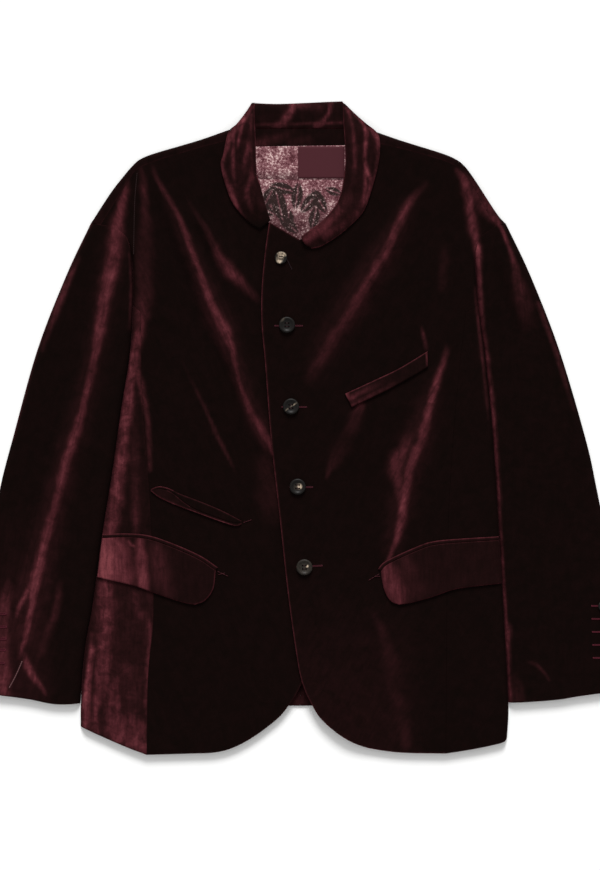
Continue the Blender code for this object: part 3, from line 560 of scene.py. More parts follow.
# The largest folds, as soft ridges: start x, start y, end x, end y, half width, rise
FOLDS = mm(
    (-175, 312, -34, -26, 20, 5),  # right chest, shoulder to front edge
    (-136, 272, -52, 154, 18, 3),  # right chest, beside the collar
    (136, 274, 24, 85, 22, 4.5),  # left chest, towards the second button
    (172, 80, 101, -152, 20, 4.5),  # left waist, welt to flap
    (-227, 191, -336, -254, 20, 4.5),  # right sleeve, its whole length
    (241, 225, 272, 120, 18, 3.5))  # left sleeve, below the armhole
LAP_EDGE = mm((-37, 247), (-42, 211), (-46, 166), (-46, 124), (-42, 79), (-35, -12), (-25, -102), (-14, -203),
              (-3, -280), (2, -304))
LEFT_HEM = mm((2, -304), (10, -324), (28, -352), (65, -378.5), (112, -389), (175, -391))
LEFT_LAP_TOP = mm((-37, 247), (-1, 226))
LEFT_NECKLINE = mm((-1, 226), (19, 230), (37, 244), (55, 262), (71, 286), (82, 344))
LEFT_SHOULDER = mm((82, 344), (122, 335), (162, 324), (187, 314), (204, 296), (234, 242))
LEFT_SIDE_TOP = mm((214.5, 148), (199, 139))
LEFT_SIDE_SEAM = mm((199, 139), (190, 58), (182, -38), (177, -150), (175, -391))
RIGHT_EDGE = mm((-7, 226), (-14, 166), (-14, 118), (-4, -12), (6, -102), (17, -194), (22, -248))
RIGHT_HEM = mm((-184, -392.5), (-133, -391), (-101, -389.5), (-78, -383), (-53, -369), (-27, -349),
               (-15, -335), (-3, -317), (10, -288), (22, -248))
RIGHT_NECKLINE = mm((-83, 346), (-78, 316), (-71, 286), (-60, 265), (-46, 254), (-36, 245.5), (-7, 226))
RIGHT_SHOULDER = mm((-239, 244), (-224, 268), (-206, 296), (-189, 314), (-125, 335), (-83, 346))
RIGHT_SIDE_TOP = mm((-201, 148), (-191, 139))
RIGHT_SIDE_SEAM = mm((-191, 139), (-189, 34), (-181, -71), (-177, -158), (-176, -233), (-182, -293),
                     (-184, -392.5))
# Shares of the armhole over which it stays a flat seam and then grows into a fold
ARMHOLE_FLAT, ARMHOLE_GROWTH = 0.3, 0.3
ROLL_END = 0.0072  # the fold runs out over this stretch of the side panel's top
RIGHT_CREASES = [
    # the long pull from the shoulder to the front edge, and its dim flank
    crease(1.2, 0, (-178, 318, 2, 0), (-171, 298, 2.6, 0.24), (-150, 262, 3.2, 0.32), (-139, 238, 3.6, 0.46),
           (-132, 217, 3.6, 0.48), (-120, 187, 3.8, 0.48), (-111, 160, 4.5, 0.48), (-100, 136, 6.2, 0.54),
           (-88, 115, 6.6, 0.54), (-81, 94, 4.4, 0.46), (-76, 68, 3, 0.38), (-70, 46, 3.2, 0.38),
           (-60, 22, 4.6, 0.4), (-48, 1, 5.2, 0.38), (-36, -20, 4.4, 0.42), (-30, -33, 3, 0.3)),
    crease(0.4, 0.3, (-160, 272, 6, 0.04), (-132, 206, 9, 0.08), (-112, 150, 13, 0.14), (-96, 116, 14, 0.16),
           (-80, 76, 10, 0.11), (-58, 14, 10, 0.13), (-40, -22, 9, 0.15)),
    # the shorter one beside the collar
    crease(1, 0, (-136, 276, 3, 0), (-124, 256, 2.8, 0.08), (-114, 241, 3.2, 0.14), (-102, 217, 4.4, 0.26),
           (-93, 199, 6.2, 0.4), (-78, 181, 7.2, 0.54), (-66, 169, 6, 0.28), (-51, 154, 3.6, 0.1)),
    # down from the shoulder point, and beside it the head of the sleeve's ridge
    crease(0.8, 0, (-190, 311, 3, 0.1), (-188, 292, 4, 0.26), (-186, 268, 5, 0.2), (-186, 226, 9, 0.12),
           (-187, 190, 10, 0.13)),
    crease(0.8, 0, (-206, 298, 2, 0.1), (-211, 277, 5, 0.48), (-217, 254, 7, 0.52), (-222, 230, 8, 0.5)),
    # under the arm, parting towards the folded side and down the side seam
    crease(0.8, 0, (-187, 214, 10, 0.1), (-187, 166, 10, 0.2), (-191, 130, 8, 0.34), (-196, 100, 6, 0.46),
           (-201, 88, 5, 0.4)),
    crease(0.8, 0, (-199, 94, 4, 0.3), (-197, 74, 4.6, 0.38), (-190, 46, 4.2, 0.36), (-185, 22, 3.8, 0.32),
           (-182, -2, 3.2, 0.28), (-180, -50, 3, 0.2)),
    # thin pull above the ticket pocket
    crease(1, 0, (-143, 84, 1.5, 0), (-126, 48, 2, 0.08), (-113, 22, 2, 0.18), (-103, -2, 2.4, 0.3),
           (-95, -18, 2.2, 0.22), (-86, -35, 2, 0.15), (-76, -56, 1.8, 0)),
    # soft light beside the front edge
    crease(0.4, 0, (-40, -44, 14, 0.07), (-36, -78, 15, 0.11), (-30, -120, 14, 0)),
]
LEFT_CREASES = [
    # the broad pull from the shoulder towards the second button
    crease(1.2, 0.1, (156, 298, 3, 0), (143, 285, 4, 0.16), (130, 270, 5, 0.4), (116, 242, 5.4, 0.46),
           (106, 218, 5.8, 0.42), (92, 194, 6.2, 0.4), (76, 166, 7, 0.34), (60, 138, 7.2, 0.3),
           (40, 109, 8, 0.24), (20, 74, 8, 0.16), (8, 50, 7, 0)),
    crease(0, 0, (142, 287, 10, 0), (106, 218, 16, 0.09), (70, 160, 18, 0.1), (30, 95, 18, 0.06),
           (10, 50, 14, 0)),
    # from the welt down to the flap, its halo and its second branch
    crease(0, 0, (162, 60, 12, 0.03), (146, 0, 18, 0.1), (128, -60, 16, 0.11), (110, -145, 12, 0.08)),
    crease(1.4, 0.1, (177, 100, 3, 0), (174, 86, 3.6, 0.36), (164, 58, 4.6, 0.5), (156, 30, 5.2, 0.54),
           (150, 6, 6, 0.5), (144, -18, 6.2, 0.48), (134, -38, 6.2, 0.5), (128, -68, 5, 0.5),
           (122, -104, 6, 0.62), (117, -128, 4.4, 0.5), (111, -146, 3.4, 0.44), (102, -167, 2.8, 0.34)),
    crease(1, 0, (136, 4, 5, 0.06), (124, -26, 8, 0.32), (115, -44, 9, 0.36), (118, -68, 7, 0.3),
           (121, -94, 5, 0.3)),
    crease(0.6, 0, (145, 124, 1.8, 0), (148.5, 110, 2.4, 0.3), (151, 96, 2.2, 0.2)),
    # below the welt's lower end
    crease(0.8, 0, (72, 26, 5, 0.34), (67, 12, 7, 0.17), (56, -14, 9, 0.08), (42, -38, 7, 0.11),
           (34, -54, 3, 0.15), (31, -64, 2, 0)),
    # faint ones beside the armhole
    crease(0.4, 0, (176, 224, 6, 0), (173, 204, 6, 0.07), (171, 176, 5, 0.08), (170, 160, 4, 0)),
    # faint pulls from the flap to the hem
    crease(0.8, 0, (90, -224, 4, 0.04), (101, -250, 6, 0.1), (108, -276, 9, 0.08), (116, -304, 10, 0.02)),
    crease(0.4, 0, (110, -312, 6, 0.02), (117, -328, 8, 0.09), (122, -346, 9, 0.04), (126, -366, 7, 0.12),
           (128, -380, 6, 0.1)),
    # the rounded side beside the sleeve
    crease(0.2, 0, (210.5, 168, 2, 0.1), (214, 130, 2.2, 0.3), (219.2, 82, 2.2, 0.3), (224, 34, 2, 0.2),
           (227, 6, 1.5, 0)),
    # the edge of the shoulder, where the sleeve head rolls over
    crease(0.6, 0, (188, 310, 3, 0.2), (197, 298, 5, 0.46), (202.5, 272, 6, 0.5), (206.5, 246, 6, 0.5),
           (210, 229, 5, 0.5), (212.5, 210, 4, 0.46), (213.6, 194, 3, 0.4)),
    crease(0.6, 0, (201, 300, 4, 0.1), (212, 283, 9, 0.28), (225, 263, 9, 0.34), (237, 247, 4, 0.4),
           (242.5, 238, 2.6, 0.44), (249, 221, 2.4, 0.44), (255, 204, 3, 0.4), (259, 187, 5, 0.28),
           (264, 166, 8, 0.22), (270, 142, 9, 0.15), (274, 112, 9, 0)),
]
DARK_BASE_SHEEN = 0.02  # painted sheen where most of the pile lies away from the eye
# Painted sheen: the left front grows lighter towards the hem, but not beside the side panel: by how much,
# below which y, over what reach, up to which x, with what fade
HEM_GLOW = (0.05, -0.15, 0.2, 0.165, 0.06)
RIM, THIN_RIM = 0.0012, 0.0010
# Turned edges that catch light: line, half width, sheen
RIGHT_RIMS = [(RIGHT_HEM, RIM, 0.22)]
LEFT_RIMS = [(LAP_EDGE, RIM, 0.55), (LEFT_HEM, RIM, 0.45), (LEFT_LAP_TOP, RIM, 0.3)]
RIGHT_LEAN, LEFT_LEAN = math.radians(23), math.radians(30)  # how the streaks of the chest lean from upright
LEFT_ROUNDS = 500  # the left front turns a deep corner at the neck, so its net is relaxed


def folds(x, y):
    """Height that the largest folds add at each point."""
    total = np.zeros(np.shape(x))
    for start_x, start_y, end_x, end_y, half_width, rise in FOLDS:
        span_x, span_y = end_x - start_x, end_y - start_y
        length = math.hypot(span_x, span_y)
        along = ((x - start_x) * span_x + (y - start_y) * span_y) / length**2
        off = ((x - start_x) * span_y - (y - start_y) * span_x) / length
        across = np.cos(0.5 * math.pi * np.clip(off / half_width, -1, 1)) ** 2
        total += rise * across * np.sin(math.pi * np.clip(along, 0, 1)) ** FOLD_FADE
    return total


def sleeve_height(creases):
    """Outer face of a top sleeve: lofted, folded and creased."""
    return lambda x, y: LOFT + folds(x, y) + brushed(creases, x, y)[0]


def body_height(creases):
    """Outer face of the body, which also sinks a little towards the hem."""
    level = sleeve_height(creases)
    return lambda x, y: level(x, y) - HEM_SINK * ease((HEM_TOP - y) / HEM_REACH)


def lapped(height):
    """A body height that climbs over the other front along the lap."""
    line = smooth_curve(LAP_EDGE)[::-1]

    def climbing(x, y):
        past_edge = x - np.interp(y, line[:, 1], line[:, 0])
        return height(x, y) + LAP_RISE * (1 - ease((past_edge - LAP_FLAT) / LAP_SLOPE))
    return climbing


def grows_below(base, more, top, reach, edge=np.inf, fade=1.0):
    """A base that grows by more below the y of top, over a reach, and only right of an edge, with a fade."""
    return lambda x, y: base + more * ease((top - y) / reach) * ease((edge - x) / fade)


def armhole_roll(armhole, rows):
    """How far each row of a front rounds down beside the sleeve and, past it, with the side panel's top."""
    steps = steps_along(armhole)
    share = np.arange(rows) / steps
    past = np.clip((np.arange(rows) - steps) * STEP / ROLL_END, 0, 1)
    return ease((share - ARMHOLE_FLAT) / ARMHOLE_GROWTH) * (1 - np.sqrt(1 - (1 - past) ** 2))


right_height = body_height(RIGHT_CREASES)
left_height = body_height(LEFT_CREASES)
lap_height = lapped(left_height)
velvet_right = make_velvet("velvet_right", -RIGHT_LEAN, CRUSH)
velvet_left = make_velvet("velvet_left", LEFT_LEAN, CRUSH)

top = side(RIGHT_SHOULDER)
outline = side(RIGHT_ARMHOLE, RIGHT_SIDE_TOP, RIGHT_SIDE_SEAM)
edge = spaced(side(RIGHT_NECKLINE, RIGHT_EDGE), np.linspace(0, 1, len(outline)))
sides = (top, side(RIGHT_HEM, steps=len(top) - 1), outline, edge)
nets = cloth(sides, right_height, WALL, (armhole_roll(RIGHT_ARMHOLE, len(outline)), TURNED), (SEWN, TURNED))
painted_light_and_print = painted_sheen_of(flat(DARK_BASE_SHEEN), RIGHT_CREASES, RIGHT_RIMS)
lay("front_right", nets, painted_light_and_print, velvet_right)

top = side(LEFT_LAP_TOP, LEFT_NECKLINE, LEFT_SHOULDER)
outline = side(LEFT_ARMHOLE, LEFT_SIDE_TOP, LEFT_SIDE_SEAM)
sides = (top, side(LEFT_HEM, steps=len(top) - 1), side(LAP_EDGE, steps=len(outline) - 1), outline)
nets = cloth(sides, lap_height, WALL, (TURNED, armhole_roll(LEFT_ARMHOLE, len(outline))), (SEWN, TURNED),
             rounds=LEFT_ROUNDS)
painted_light_and_print = painted_sheen_of(grows_below(DARK_BASE_SHEEN, *HEM_GLOW), LEFT_CREASES, LEFT_RIMS)
lay("front_left", nets, painted_light_and_print, velvet_left)

# Side panels.  A narrow piece of velvet under each arm, sewn to the front and folded under at the side.  The
# right one shows pale streaks of painted sheen along its creases, and blotches of crushed pile.
RIGHT_SIDE_HEM = mm((-264, -358.5), (-239, -370), (-208, -383.5), (-184, -392.5))
LEFT_SIDE_HEM = mm((175, -391), (212, -385), (243, -378), (249, -373))
RIGHT_SIDE_CREASES = RIGHT_CREASES + [
    # under the arm down to the pocket
    crease(0.6, 0, (-195, 112, 6, 0.46), (-203, 64, 7, 0.58), (-209, 16, 8, 0.66), (-215, -32, 9, 0.68),
           (-220, -74, 9, 0.68), (-228, -116, 10, 0.64), (-236, -150, 10, 0.5)),
    crease(0.5, 0, (-198, 0, 5, 0.1), (-198, -40, 5, 0.26), (-198, -90, 5, 0.26), (-197, -124, 5, 0.3)),
    # broad and soft below the pocket
    crease(0.6, 0, (-234, -186, 10, 0.42), (-233, -214, 10, 0.46), (-234, -242, 10, 0.42),
           (-235, -266, 9, 0.42), (-235, -290, 9, 0.36), (-234, -316, 10, 0.36)),
    # crisp strips beside the folded side
    crease(0.6, 0, (-249.6, -248, 2.5, 0.1), (-251.4, -272, 3, 0.66), (-253.2, -290, 3.5, 0.78),
           (-255.6, -314, 4, 0.72), (-257.6, -338, 6, 0.7), (-256.8, -356, 7, 0.6)),
    crease(0.5, 0, (-241.2, -264, 2, 0.1), (-243.6, -290, 2.4, 0.46), (-242.4, -314, 2.8, 0.52),
           (-245.6, -341, 4.5, 0.5), (-244, -364, 5, 0.44)),
    crease(0.4, 0, (-234.6, -206, 1.8, 0.2), (-235.2, -224, 2.2, 0.56), (-234, -240, 1.8, 0.2)),
    # broad towards the hem
    crease(0.6, 0, (-225, -306, 9, 0.24), (-224, -346, 12, 0.46), (-217, -374, 12, 0.44)),
    crease(0.6, 0, (-199, -340, 6, 0.1), (-199, -362, 13, 0.46), (-193, -384, 12, 0.46)),
    # along the seam
    crease(0.5, 0, (-183, -222, 2.4, 0.1), (-180, -240, 2.8, 0.5), (-181.8, -260, 2.4, 0.42),
           (-182.2, -281, 2.4, 0.4), (-185.2, -314, 2.2, 0.32), (-185.5, -344, 2, 0.2)),
    crease(0.4, 0, (-199, -196, 4, 0.22), (-194, -212, 6, 0.14), (-188, -226, 6, 0.2)),
    crease(0.4, 0, (-209, -286, 8, 0.1), (-203, -306, 10, 0.16), (-200, -326, 8, 0.06)),
]
# Painted sheen of the right one, lighter below the pocket: its base, by how much, below which y, over what
# reach; then the share of its creases' painted sheen that it takes
SIDE_GLOW, SIDE_CREASE_SHEEN = (0.06, 0.09, -0.16, 0.04), 0.75
RIGHT_SIDE_RIMS, LEFT_SIDE_RIMS = [(RIGHT_SIDE_HEM, RIM, 0.5)], [(LEFT_SIDE_HEM, RIM, 0.2)]
SIDE_COLUMNS = 16
MOST_ROWS = 600  # more rows than any piece has
always = np.ones(MOST_ROWS)  # a full fold along every row

right_side_height = body_height(RIGHT_SIDE_CREASES)
seam_line = side(RIGHT_SIDE_SEAM)
sides = (side(RIGHT_SIDE_TOP, steps=SIDE_COLUMNS), side(RIGHT_SIDE_HEM, steps=SIDE_COLUMNS),
         side(RIGHT_SIDE, steps=len(seam_line) - 1), seam_line)
nets = cloth(sides, right_side_height, WALL, (always, SEWN), (SEWN, TURNED))
painted_light_and_print = painted_sheen_of(grows_below(*SIDE_GLOW), RIGHT_SIDE_CREASES, RIGHT_SIDE_RIMS, SIDE_CREASE_SHEEN)
lay("side_right", nets, painted_light_and_print, velvet)
seam_line = side(LEFT_SIDE_SEAM)
sides = (side(LEFT_SIDE_TOP[::-1], steps=SIDE_COLUMNS), side(LEFT_SIDE_HEM, steps=SIDE_COLUMNS), seam_line,
         side(LEFT_SIDE, steps=len(seam_line) - 1))
nets = cloth(sides, left_height, WALL, (SEWN, always), (SEWN, TURNED))
painted_light_and_print = painted_sheen_of(flat(DARK_BASE_SHEEN), LEFT_CREASES, LEFT_SIDE_RIMS)
lay("side_left", nets, painted_light_and_print, velvet_left)

# Shoulders.  The top of the back comes forward over the fold, so the shoulder seam lies in front of the
# outline; a narrow strip of velvet shows above it.
# Columns of a shoulder strip, its base painted sheen, and the painted sheen along its seam
SHOULDER_COLUMNS, SHOULDER_BASE_SHEEN, SHOULDER_SHEEN = 5, 0.05, 0.2
for hand, fold, seam, height, creases in (
        ("right", RIGHT_SHOULDER_FOLD, RIGHT_SHOULDER, right_height, RIGHT_CREASES),
        ("left", LEFT_SHOULDER_FOLD, LEFT_SHOULDER, left_height, LEFT_CREASES)):
    fold_line = side(fold)
    seam_line = side(seam, steps=len(fold_line) - 1)
    sides = (*joined(fold_line, seam_line, SHOULDER_COLUMNS), fold_line, seam_line)
    nets = cloth(sides, height, WALL, (always, SEWN), (SEWN, SEWN))
    painted_light_and_print = painted_sheen_of(flat(SHOULDER_BASE_SHEEN), creases, [(seam, THIN_RIM, SHOULDER_SHEEN)])
    lay("shoulder_" + hand, nets, painted_light_and_print, velvet)

# Sleeves.  Cut in two, a top and an under sleeve, set into the armhole below a dropped shoulder.  The top
# sleeve folds down along both sides over the flat under sleeve; the right one has one long ridge.
SLEEVE_PRESS = 0.0006  # the sleeves are pressed this far into the body's rounded side
LEFT_SLEEVE_TOP = mm((210.5, 210.7), (216.4, 229.3), (233.5, 242.4), (247.5, 246.2))
LEFT_SLEEVE_INNER = mm((210.5, 210.7), (211.5, 184)) + [(x - SLEEVE_PRESS, y) for x, y in LEFT_SIDE[:-1]]
LEFT_SLEEVE_OUTER = mm((247.5, 246.2), (277, 184), (312, 94), (344, -14), (356, -68), (370, -140),
                       (382, -218), (392, -278), (396, -314))
LEFT_CUFF = LEFT_SLEEVE_INNER[-1:] + mm((276, -329), (312, -326), (336, -322), (396, -314))
RIGHT_SLEEVE_TOP = mm((-251.2, 247.2), (-239, 244.4), (-224, 241.4), (-209, 230.4), (-204, 217.2))
RIGHT_SLEEVE_OUTER = mm((-251.2, 247.2), (-281, 184), (-316, 94), (-346, -14), (-360, -68), (-374, -140),
                        (-385, -218), (-393, -278), (-396, -317))
RIGHT_SLEEVE_INNER = mm((-204, 217.2), (-202, 208), (-200.4, 178))
RIGHT_SLEEVE_INNER += [(x + SLEEVE_PRESS, y) for x, y in RIGHT_SIDE[:-2]]
RIGHT_SLEEVE_INNER += mm((-264.2, -331))
RIGHT_CUFF = mm((-396, -317), (-353, -322), (-324, -326), (-300, -331), (-282, -332), (-264.2, -331))
RIGHT_SLEEVE_CREASES = [
    # the long ridge from the shoulder to the cuff
    crease(1, 0, (-206, 295, 4, 0.3), (-211, 274, 6, 0.46), (-218, 250, 8, 0.52), (-222, 216, 9.6, 0.5),
           (-228.6, 182, 9, 0.54), (-235, 149, 8, 0.54), (-242.4, 106, 6.4, 0.46), (-249.6, 70, 5.2, 0.44),
           (-258.6, 31, 4.6, 0.44), (-267.6, -2, 6, 0.48), (-282, -46, 6.6, 0.5), (-291, -86, 6, 0.38),
           (-305, -132, 6.6, 0.46), (-313, -168, 7.2, 0.58), (-318.5, -190, 7, 0.56), (-321.2, -212, 4, 0.5),
           (-325.2, -228, 3.6, 0.48), (-329.2, -251, 3.4, 0.46), (-334.3, -263, 3.6, 0.46),
           (-337.5, -275, 2.6, 0.2)),
    # its halo
    crease(0, 0, (-222, 216, 16, 0.06), (-250, 70, 13, 0.08), (-282, -46, 16, 0.1), (-318, -190, 18, 0.12),
           (-334, -240, 16, 0.12)),
    # its inner edge beside the body
    crease(0, 0, (-205, 210, 1.6, 0.1), (-203, 180, 1.8, 0.24), (-203.2, 150, 1.8, 0.26),
           (-204.4, 118, 1.6, 0.1)),
    # the rim of the sleeve
    crease(0.3, 0, (-266.4, 204, 3, 0.1), (-276, 182, 4, 0.36), (-285.6, 158, 4.5, 0.36),
           (-297.6, 127, 3.6, 0.26), (-309.6, 94, 3, 0.1)),
    # its outer strand, which ends above the vent
    crease(0.8, 0, (-322, -188, 4, 0.3), (-331.2, -204, 3.6, 0.5), (-337.8, -216, 3.2, 0.44),
           (-340.2, -227, 2.6, 0.2)),
    # dim pull inside of it
    crease(1, 0, (-288, -184, 3.4, 0.06), (-290.6, -206, 4.4, 0.2), (-295.2, -226, 4.6, 0.2),
           (-303.6, -246, 5, 0.14), (-311, -272, 5, 0.06)),
    # from the top of the vent to the hem of the sleeve
    crease(1.4, 0, (-330.6, -272, 3, 0.26), (-327.6, -283, 4.4, 0.54), (-320.6, -298, 4.6, 0.54),
           (-310.3, -311, 3.4, 0.38), (-306, -319, 2.6, 0.2)),
    # the edge with the buttonholes
    crease(0.8, 0, (-350, -190, 7, 0.16), (-356, -222, 8, 0.34), (-357, -262, 8, 0.32),
           (-355.5, -290, 9, 0.44), (-358, -316, 10, 0.44)),
]
LEFT_SLEEVE_CREASES = LEFT_CREASES + [
    # the rim of the sleeve
    crease(0.3, 0, (286, 150, 2.6, 0.2), (297.5, 118, 3, 0.3), (309, 86, 3, 0.24), (318.5, 55, 2.6, 0.2),
           (328.5, 22, 2, 0.1)),
    # the rolled inner edge, down to the cuff
    crease(0.4, 0, (213, 216, 5, 0.46), (214.5, 190, 4, 0.46), (216, 160, 3.4, 0.44), (218.5, 126, 3.2, 0.44),
           (223.5, 86, 3.4, 0.44), (228.5, 42, 3.6, 0.46), (232.5, 2, 3.4, 0.46), (235, -34, 3, 0.44),
           (237.8, -71, 2.6, 0.42), (241.8, -138, 2.2, 0.38), (247, -230, 2.2, 0.4), (248.5, -254, 3.4, 0.46),
           (250, -284, 2.6, 0.42), (252.2, -328, 3, 0.42)),
    crease(1.2, 0, (246, -231, 3, 0.2), (250, -240, 4, 0.3), (249, -252, 4, 0.3)),
    crease(1.2, 0, (270, -280, 1.8, 0), (281, -283, 2, 0.13), (290, -290, 2, 0.15), (299, -302, 1.8, 0.1)),
    crease(0.4, 0, (257, -290, 4, 0), (260, -308, 7, 0.1), (263, -326, 8, 0.12)),
]
UNDER_SLEEVE_CREASES = [
    crease(0.7, 0, (-250, 180, 10, 0.1), (-285, 20, 12, 0.5), (-330, -200, 10, 0.2)),
    crease(0.7, 0, (250, 170, 10, 0.1), (285, 0, 12, 0.5), (320, -220, 10, 0.2)),
]
SLEEVE_COLUMNS, UNDER_COLUMNS = 60, 20
UNDER_CORNER, UNDER_ROUNDS = 0.0006, 60  # an under sleeve's armhole corner stands out, and its net is relaxed
HEAD_SHARE = 0.40  # where along the armhole a sleeve's folded edge starts
HEAD_LENGTH = 0.110  # the armhole's length
SLEEVE_LEAN = math.radians(13)
# base painted sheen of the under sleeves
UNDER_BASE_SHEEN = 0.16
CUFF_GLOW = (0.09, -0.05, 0.25, -0.285, 0.035)  # painted sheen as HEM_GLOW; the right one, towards its buttoned edge
SLEEVE_RIM = 0.0022
RIGHT_SLEEVE_RIMS = [(RIGHT_CUFF, RIM, 0.2), (RIGHT_SLEEVE_TOP, THIN_RIM, 0.2),
                     (RIGHT_SLEEVE_OUTER[:4], SLEEVE_RIM, 0.34)]
LEFT_SLEEVE_RIMS = [(LEFT_CUFF, RIM, 0.16), (LEFT_SLEEVE_TOP, THIN_RIM, 0.2)]


def head_roll(rows):
    """How far the rows of a sleeve's inner edge round down, growing as the armhole of the front does."""
    share = HEAD_SHARE + np.arange(rows) * STEP / HEAD_LENGTH
    return ease((share - ARMHOLE_FLAT) / ARMHOLE_GROWTH)


right_sleeve_height = sleeve_height(RIGHT_SLEEVE_CREASES)
left_sleeve_height = sleeve_height(LEFT_SLEEVE_CREASES)
velvet_sleeve = make_velvet("velvet_sleeve", SLEEVE_LEAN, CRUSH)
# painted sheen of the top sleeves
right_sleeve_sheen = painted_sheen_of(grows_below(DARK_BASE_SHEEN, *CUFF_GLOW), RIGHT_SLEEVE_CREASES, RIGHT_SLEEVE_RIMS)
left_sleeve_sheen = painted_sheen_of(flat(DARK_BASE_SHEEN), LEFT_SLEEVE_CREASES, LEFT_SLEEVE_RIMS)
for hand, top, first_side, second_side, cuff, height, painted_light_and_print, material in (
        ("right", RIGHT_SLEEVE_TOP, RIGHT_SLEEVE_OUTER, RIGHT_SLEEVE_INNER, RIGHT_CUFF, right_sleeve_height,
         right_sleeve_sheen, velvet_sleeve),
        ("left", LEFT_SLEEVE_TOP, LEFT_SLEEVE_INNER, LEFT_SLEEVE_OUTER, LEFT_CUFF, left_sleeve_height,
         left_sleeve_sheen, velvet)):
    first = side(first_side)
    second = side(second_side, steps=len(first) - 1)
    under_first, under_second = moved_in(first, UNDER_INSET), moved_in(second, -UNDER_INSET)
    rolls = (head_roll(len(first)), always)
    if hand == "right":
        under_second[0, 0] += UNDER_CORNER
        rolls = (always, head_roll(len(second)))
    else:
        under_first[0, 0] -= UNDER_CORNER
    under_top = side(top, steps=UNDER_COLUMNS)
    share = np.linspace(0, 1, len(under_top))[:, None]
    under_top += (1 - share) * (under_first[0] - under_top[0]) + share * (under_second[0] - under_top[-1])
    sides = (under_top, straight(under_first[-1], under_second[-1], UNDER_COLUMNS), under_first, under_second)
    nets = cloth(sides, flat(UNDER_WALL), UNDER_WALL, sole=sole_with(UNDER_SLEEVE_CREASES),
                 rounds=UNDER_ROUNDS)
    under_sheen = painted_sheen_of(flat(UNDER_BASE_SHEEN), UNDER_SLEEVE_CREASES)
    under = lay("sleeve_under_" + hand, nets, under_sheen, velvet)
    sides = (side(top, steps=SLEEVE_COLUMNS), side(cuff, steps=SLEEVE_COLUMNS), first, second)
    nets = cloth(sides, height, WALL, rolls, (SEWN, TURNED))
    lay("sleeve_top_" + hand, nets, painted_light_and_print, material)

# Inside the neck.  Below the collar seam a band of velvet faces the back; under it hang a lining yoke and the
# back lining, of speckled printed satin, with a plain woven patch sewn over the yoke.
FACING_DROP = 0.002  # the facing starts this far below the back neck seam
# base painted sheen of the facing
FACING_BASE_SHEEN = 0.04
LINING_WALL = 0.0012
LINING_REACH = 0.066
FACING_FOOT, YOKE_FOOT, LINING_FOOT = (0.338, 0.340), (0.299, 0.298), (0.200, 0.200)
PATCH_BOX = (-0.0024, 0.3000, 0.0535, 0.3385)  # x, y of its lower right and upper left corners
PATCH_WALL = 0.0008
PATCH_COLUMNS, PATCH_ROWS = 16, 12
LINING_LEVEL = UNDER_WALL + SEAM + LINING_WALL
LINING_STEP = 0.0014
FACING_CREASES = [
    crease(0, 0, (-53, 342, 6, 0.3), (-38, 344, 6, 0.22), (-20, 350, 5, 0.14), (-10, 356, 5, 0.05)),
    crease(0, 0, (-10, 342, 6, 0.1), (10, 346, 6, 0.08)),
]
# Sprigs of the lining's print, generic leaves: stem x, stem y, heading in degrees, length, width
LEAVES = [(-0.046, 0.262, 62, 0.034, 0.015), (-0.02, 0.246, 103, 0.046, 0.018), (0, 0.258, 48, 0.038, 0.015),
          (0.032, 0.258, 120, 0.034, 0.014), (-0.038, 0.292, -14, 0.034, 0.014),
          (0.014, 0.238, 78, 0.03, 0.013), (-0.002, 0.234, 138, 0.032, 0.014),
          (-0.006, 0.262, 82, 0.034, 0.014), (-0.012, 0.24, 96, 0.024, 0.012),
          (-0.03, 0.256, 150, 0.022, 0.011), (0.03, 0.288, -20, 0.022, 0.01)]
LEAF_FULL, LEAF_EDGE = 0.8, 0.0012  # how full a leaf is, and how soft its edge
VEIN, VEIN_EDGE = 0.0004, 0.0006
LINING_STOPS = [(0.0, (0.066, 0.017, 0.022, 1.0)), (0.5, (0.225, 0.092, 0.106, 1.0)),
                (1.0, (0.80, 0.59, 0.56, 1.0))]
# colour of the print's ink, also used for the painted shade
LINING_DARK = (0.024, 0.0130, 0.0122, 1.0)
# Painted shade: the lining darkens into the neck opening and the yoke towards its foot, with numbers in the
# same order
LINING_SHADE, YOKE_SHADE = (0.0, 0.45, 0.285, 0.045), (0.0, 0.55, 0.313, 0.014)
# Noise of the print: scale, detail, roughness
CLOUD, SPOTS = (60.0, 4.0, 0.6), (430.0, 3.0, 0.8)
SPOT_SHARE = 1.7  # spots count this much more than clouds
# Noise from which to which the print turns from dark to pale rose, and the ink and painted shade from worn
# off to whole
ROSE_RANGE, INK_AND_SHADE_RANGE = (1.10, 1.72), (0.72, 0.6)
LINING_BUMP, LINING_ROUGHNESS, LINING_SPECULAR = (0.35, 0.0010), 0.42, 0.06
PATCH_MAROON = (0.062, 0.0165, 0.0215)
WEAVE, WEAVE_WANDER, WEAVE_SHADE = 260.0, 0.6, (0.25, 0.85)
PATCH_BUMP, PATCH_ROUGHNESS, PATCH_SPECULAR = (0.2, 0.0002), 0.6, 0.05
YOKE_CUT, LINING_CUT = ((0.132, 0.041), 0.0053), ((0.132, 0.099), 0.0130)
FACING_CUT, PATCH_CUT = ((0.132, 0.0215), 0.0028), ((0.056, 0.0385), 0.00215)


def heading_from(spot_x, spot_y, heading, x, y):
    """Distances of points from a spot, along a heading in degrees and across it."""
    ahead_x, ahead_y = math.cos(math.radians(heading)), math.sin(math.radians(heading))
    along = (x - spot_x) * ahead_x + (y - spot_y) * ahead_y
    return along, (y - spot_y) * ahead_x - (x - spot_x) * ahead_y


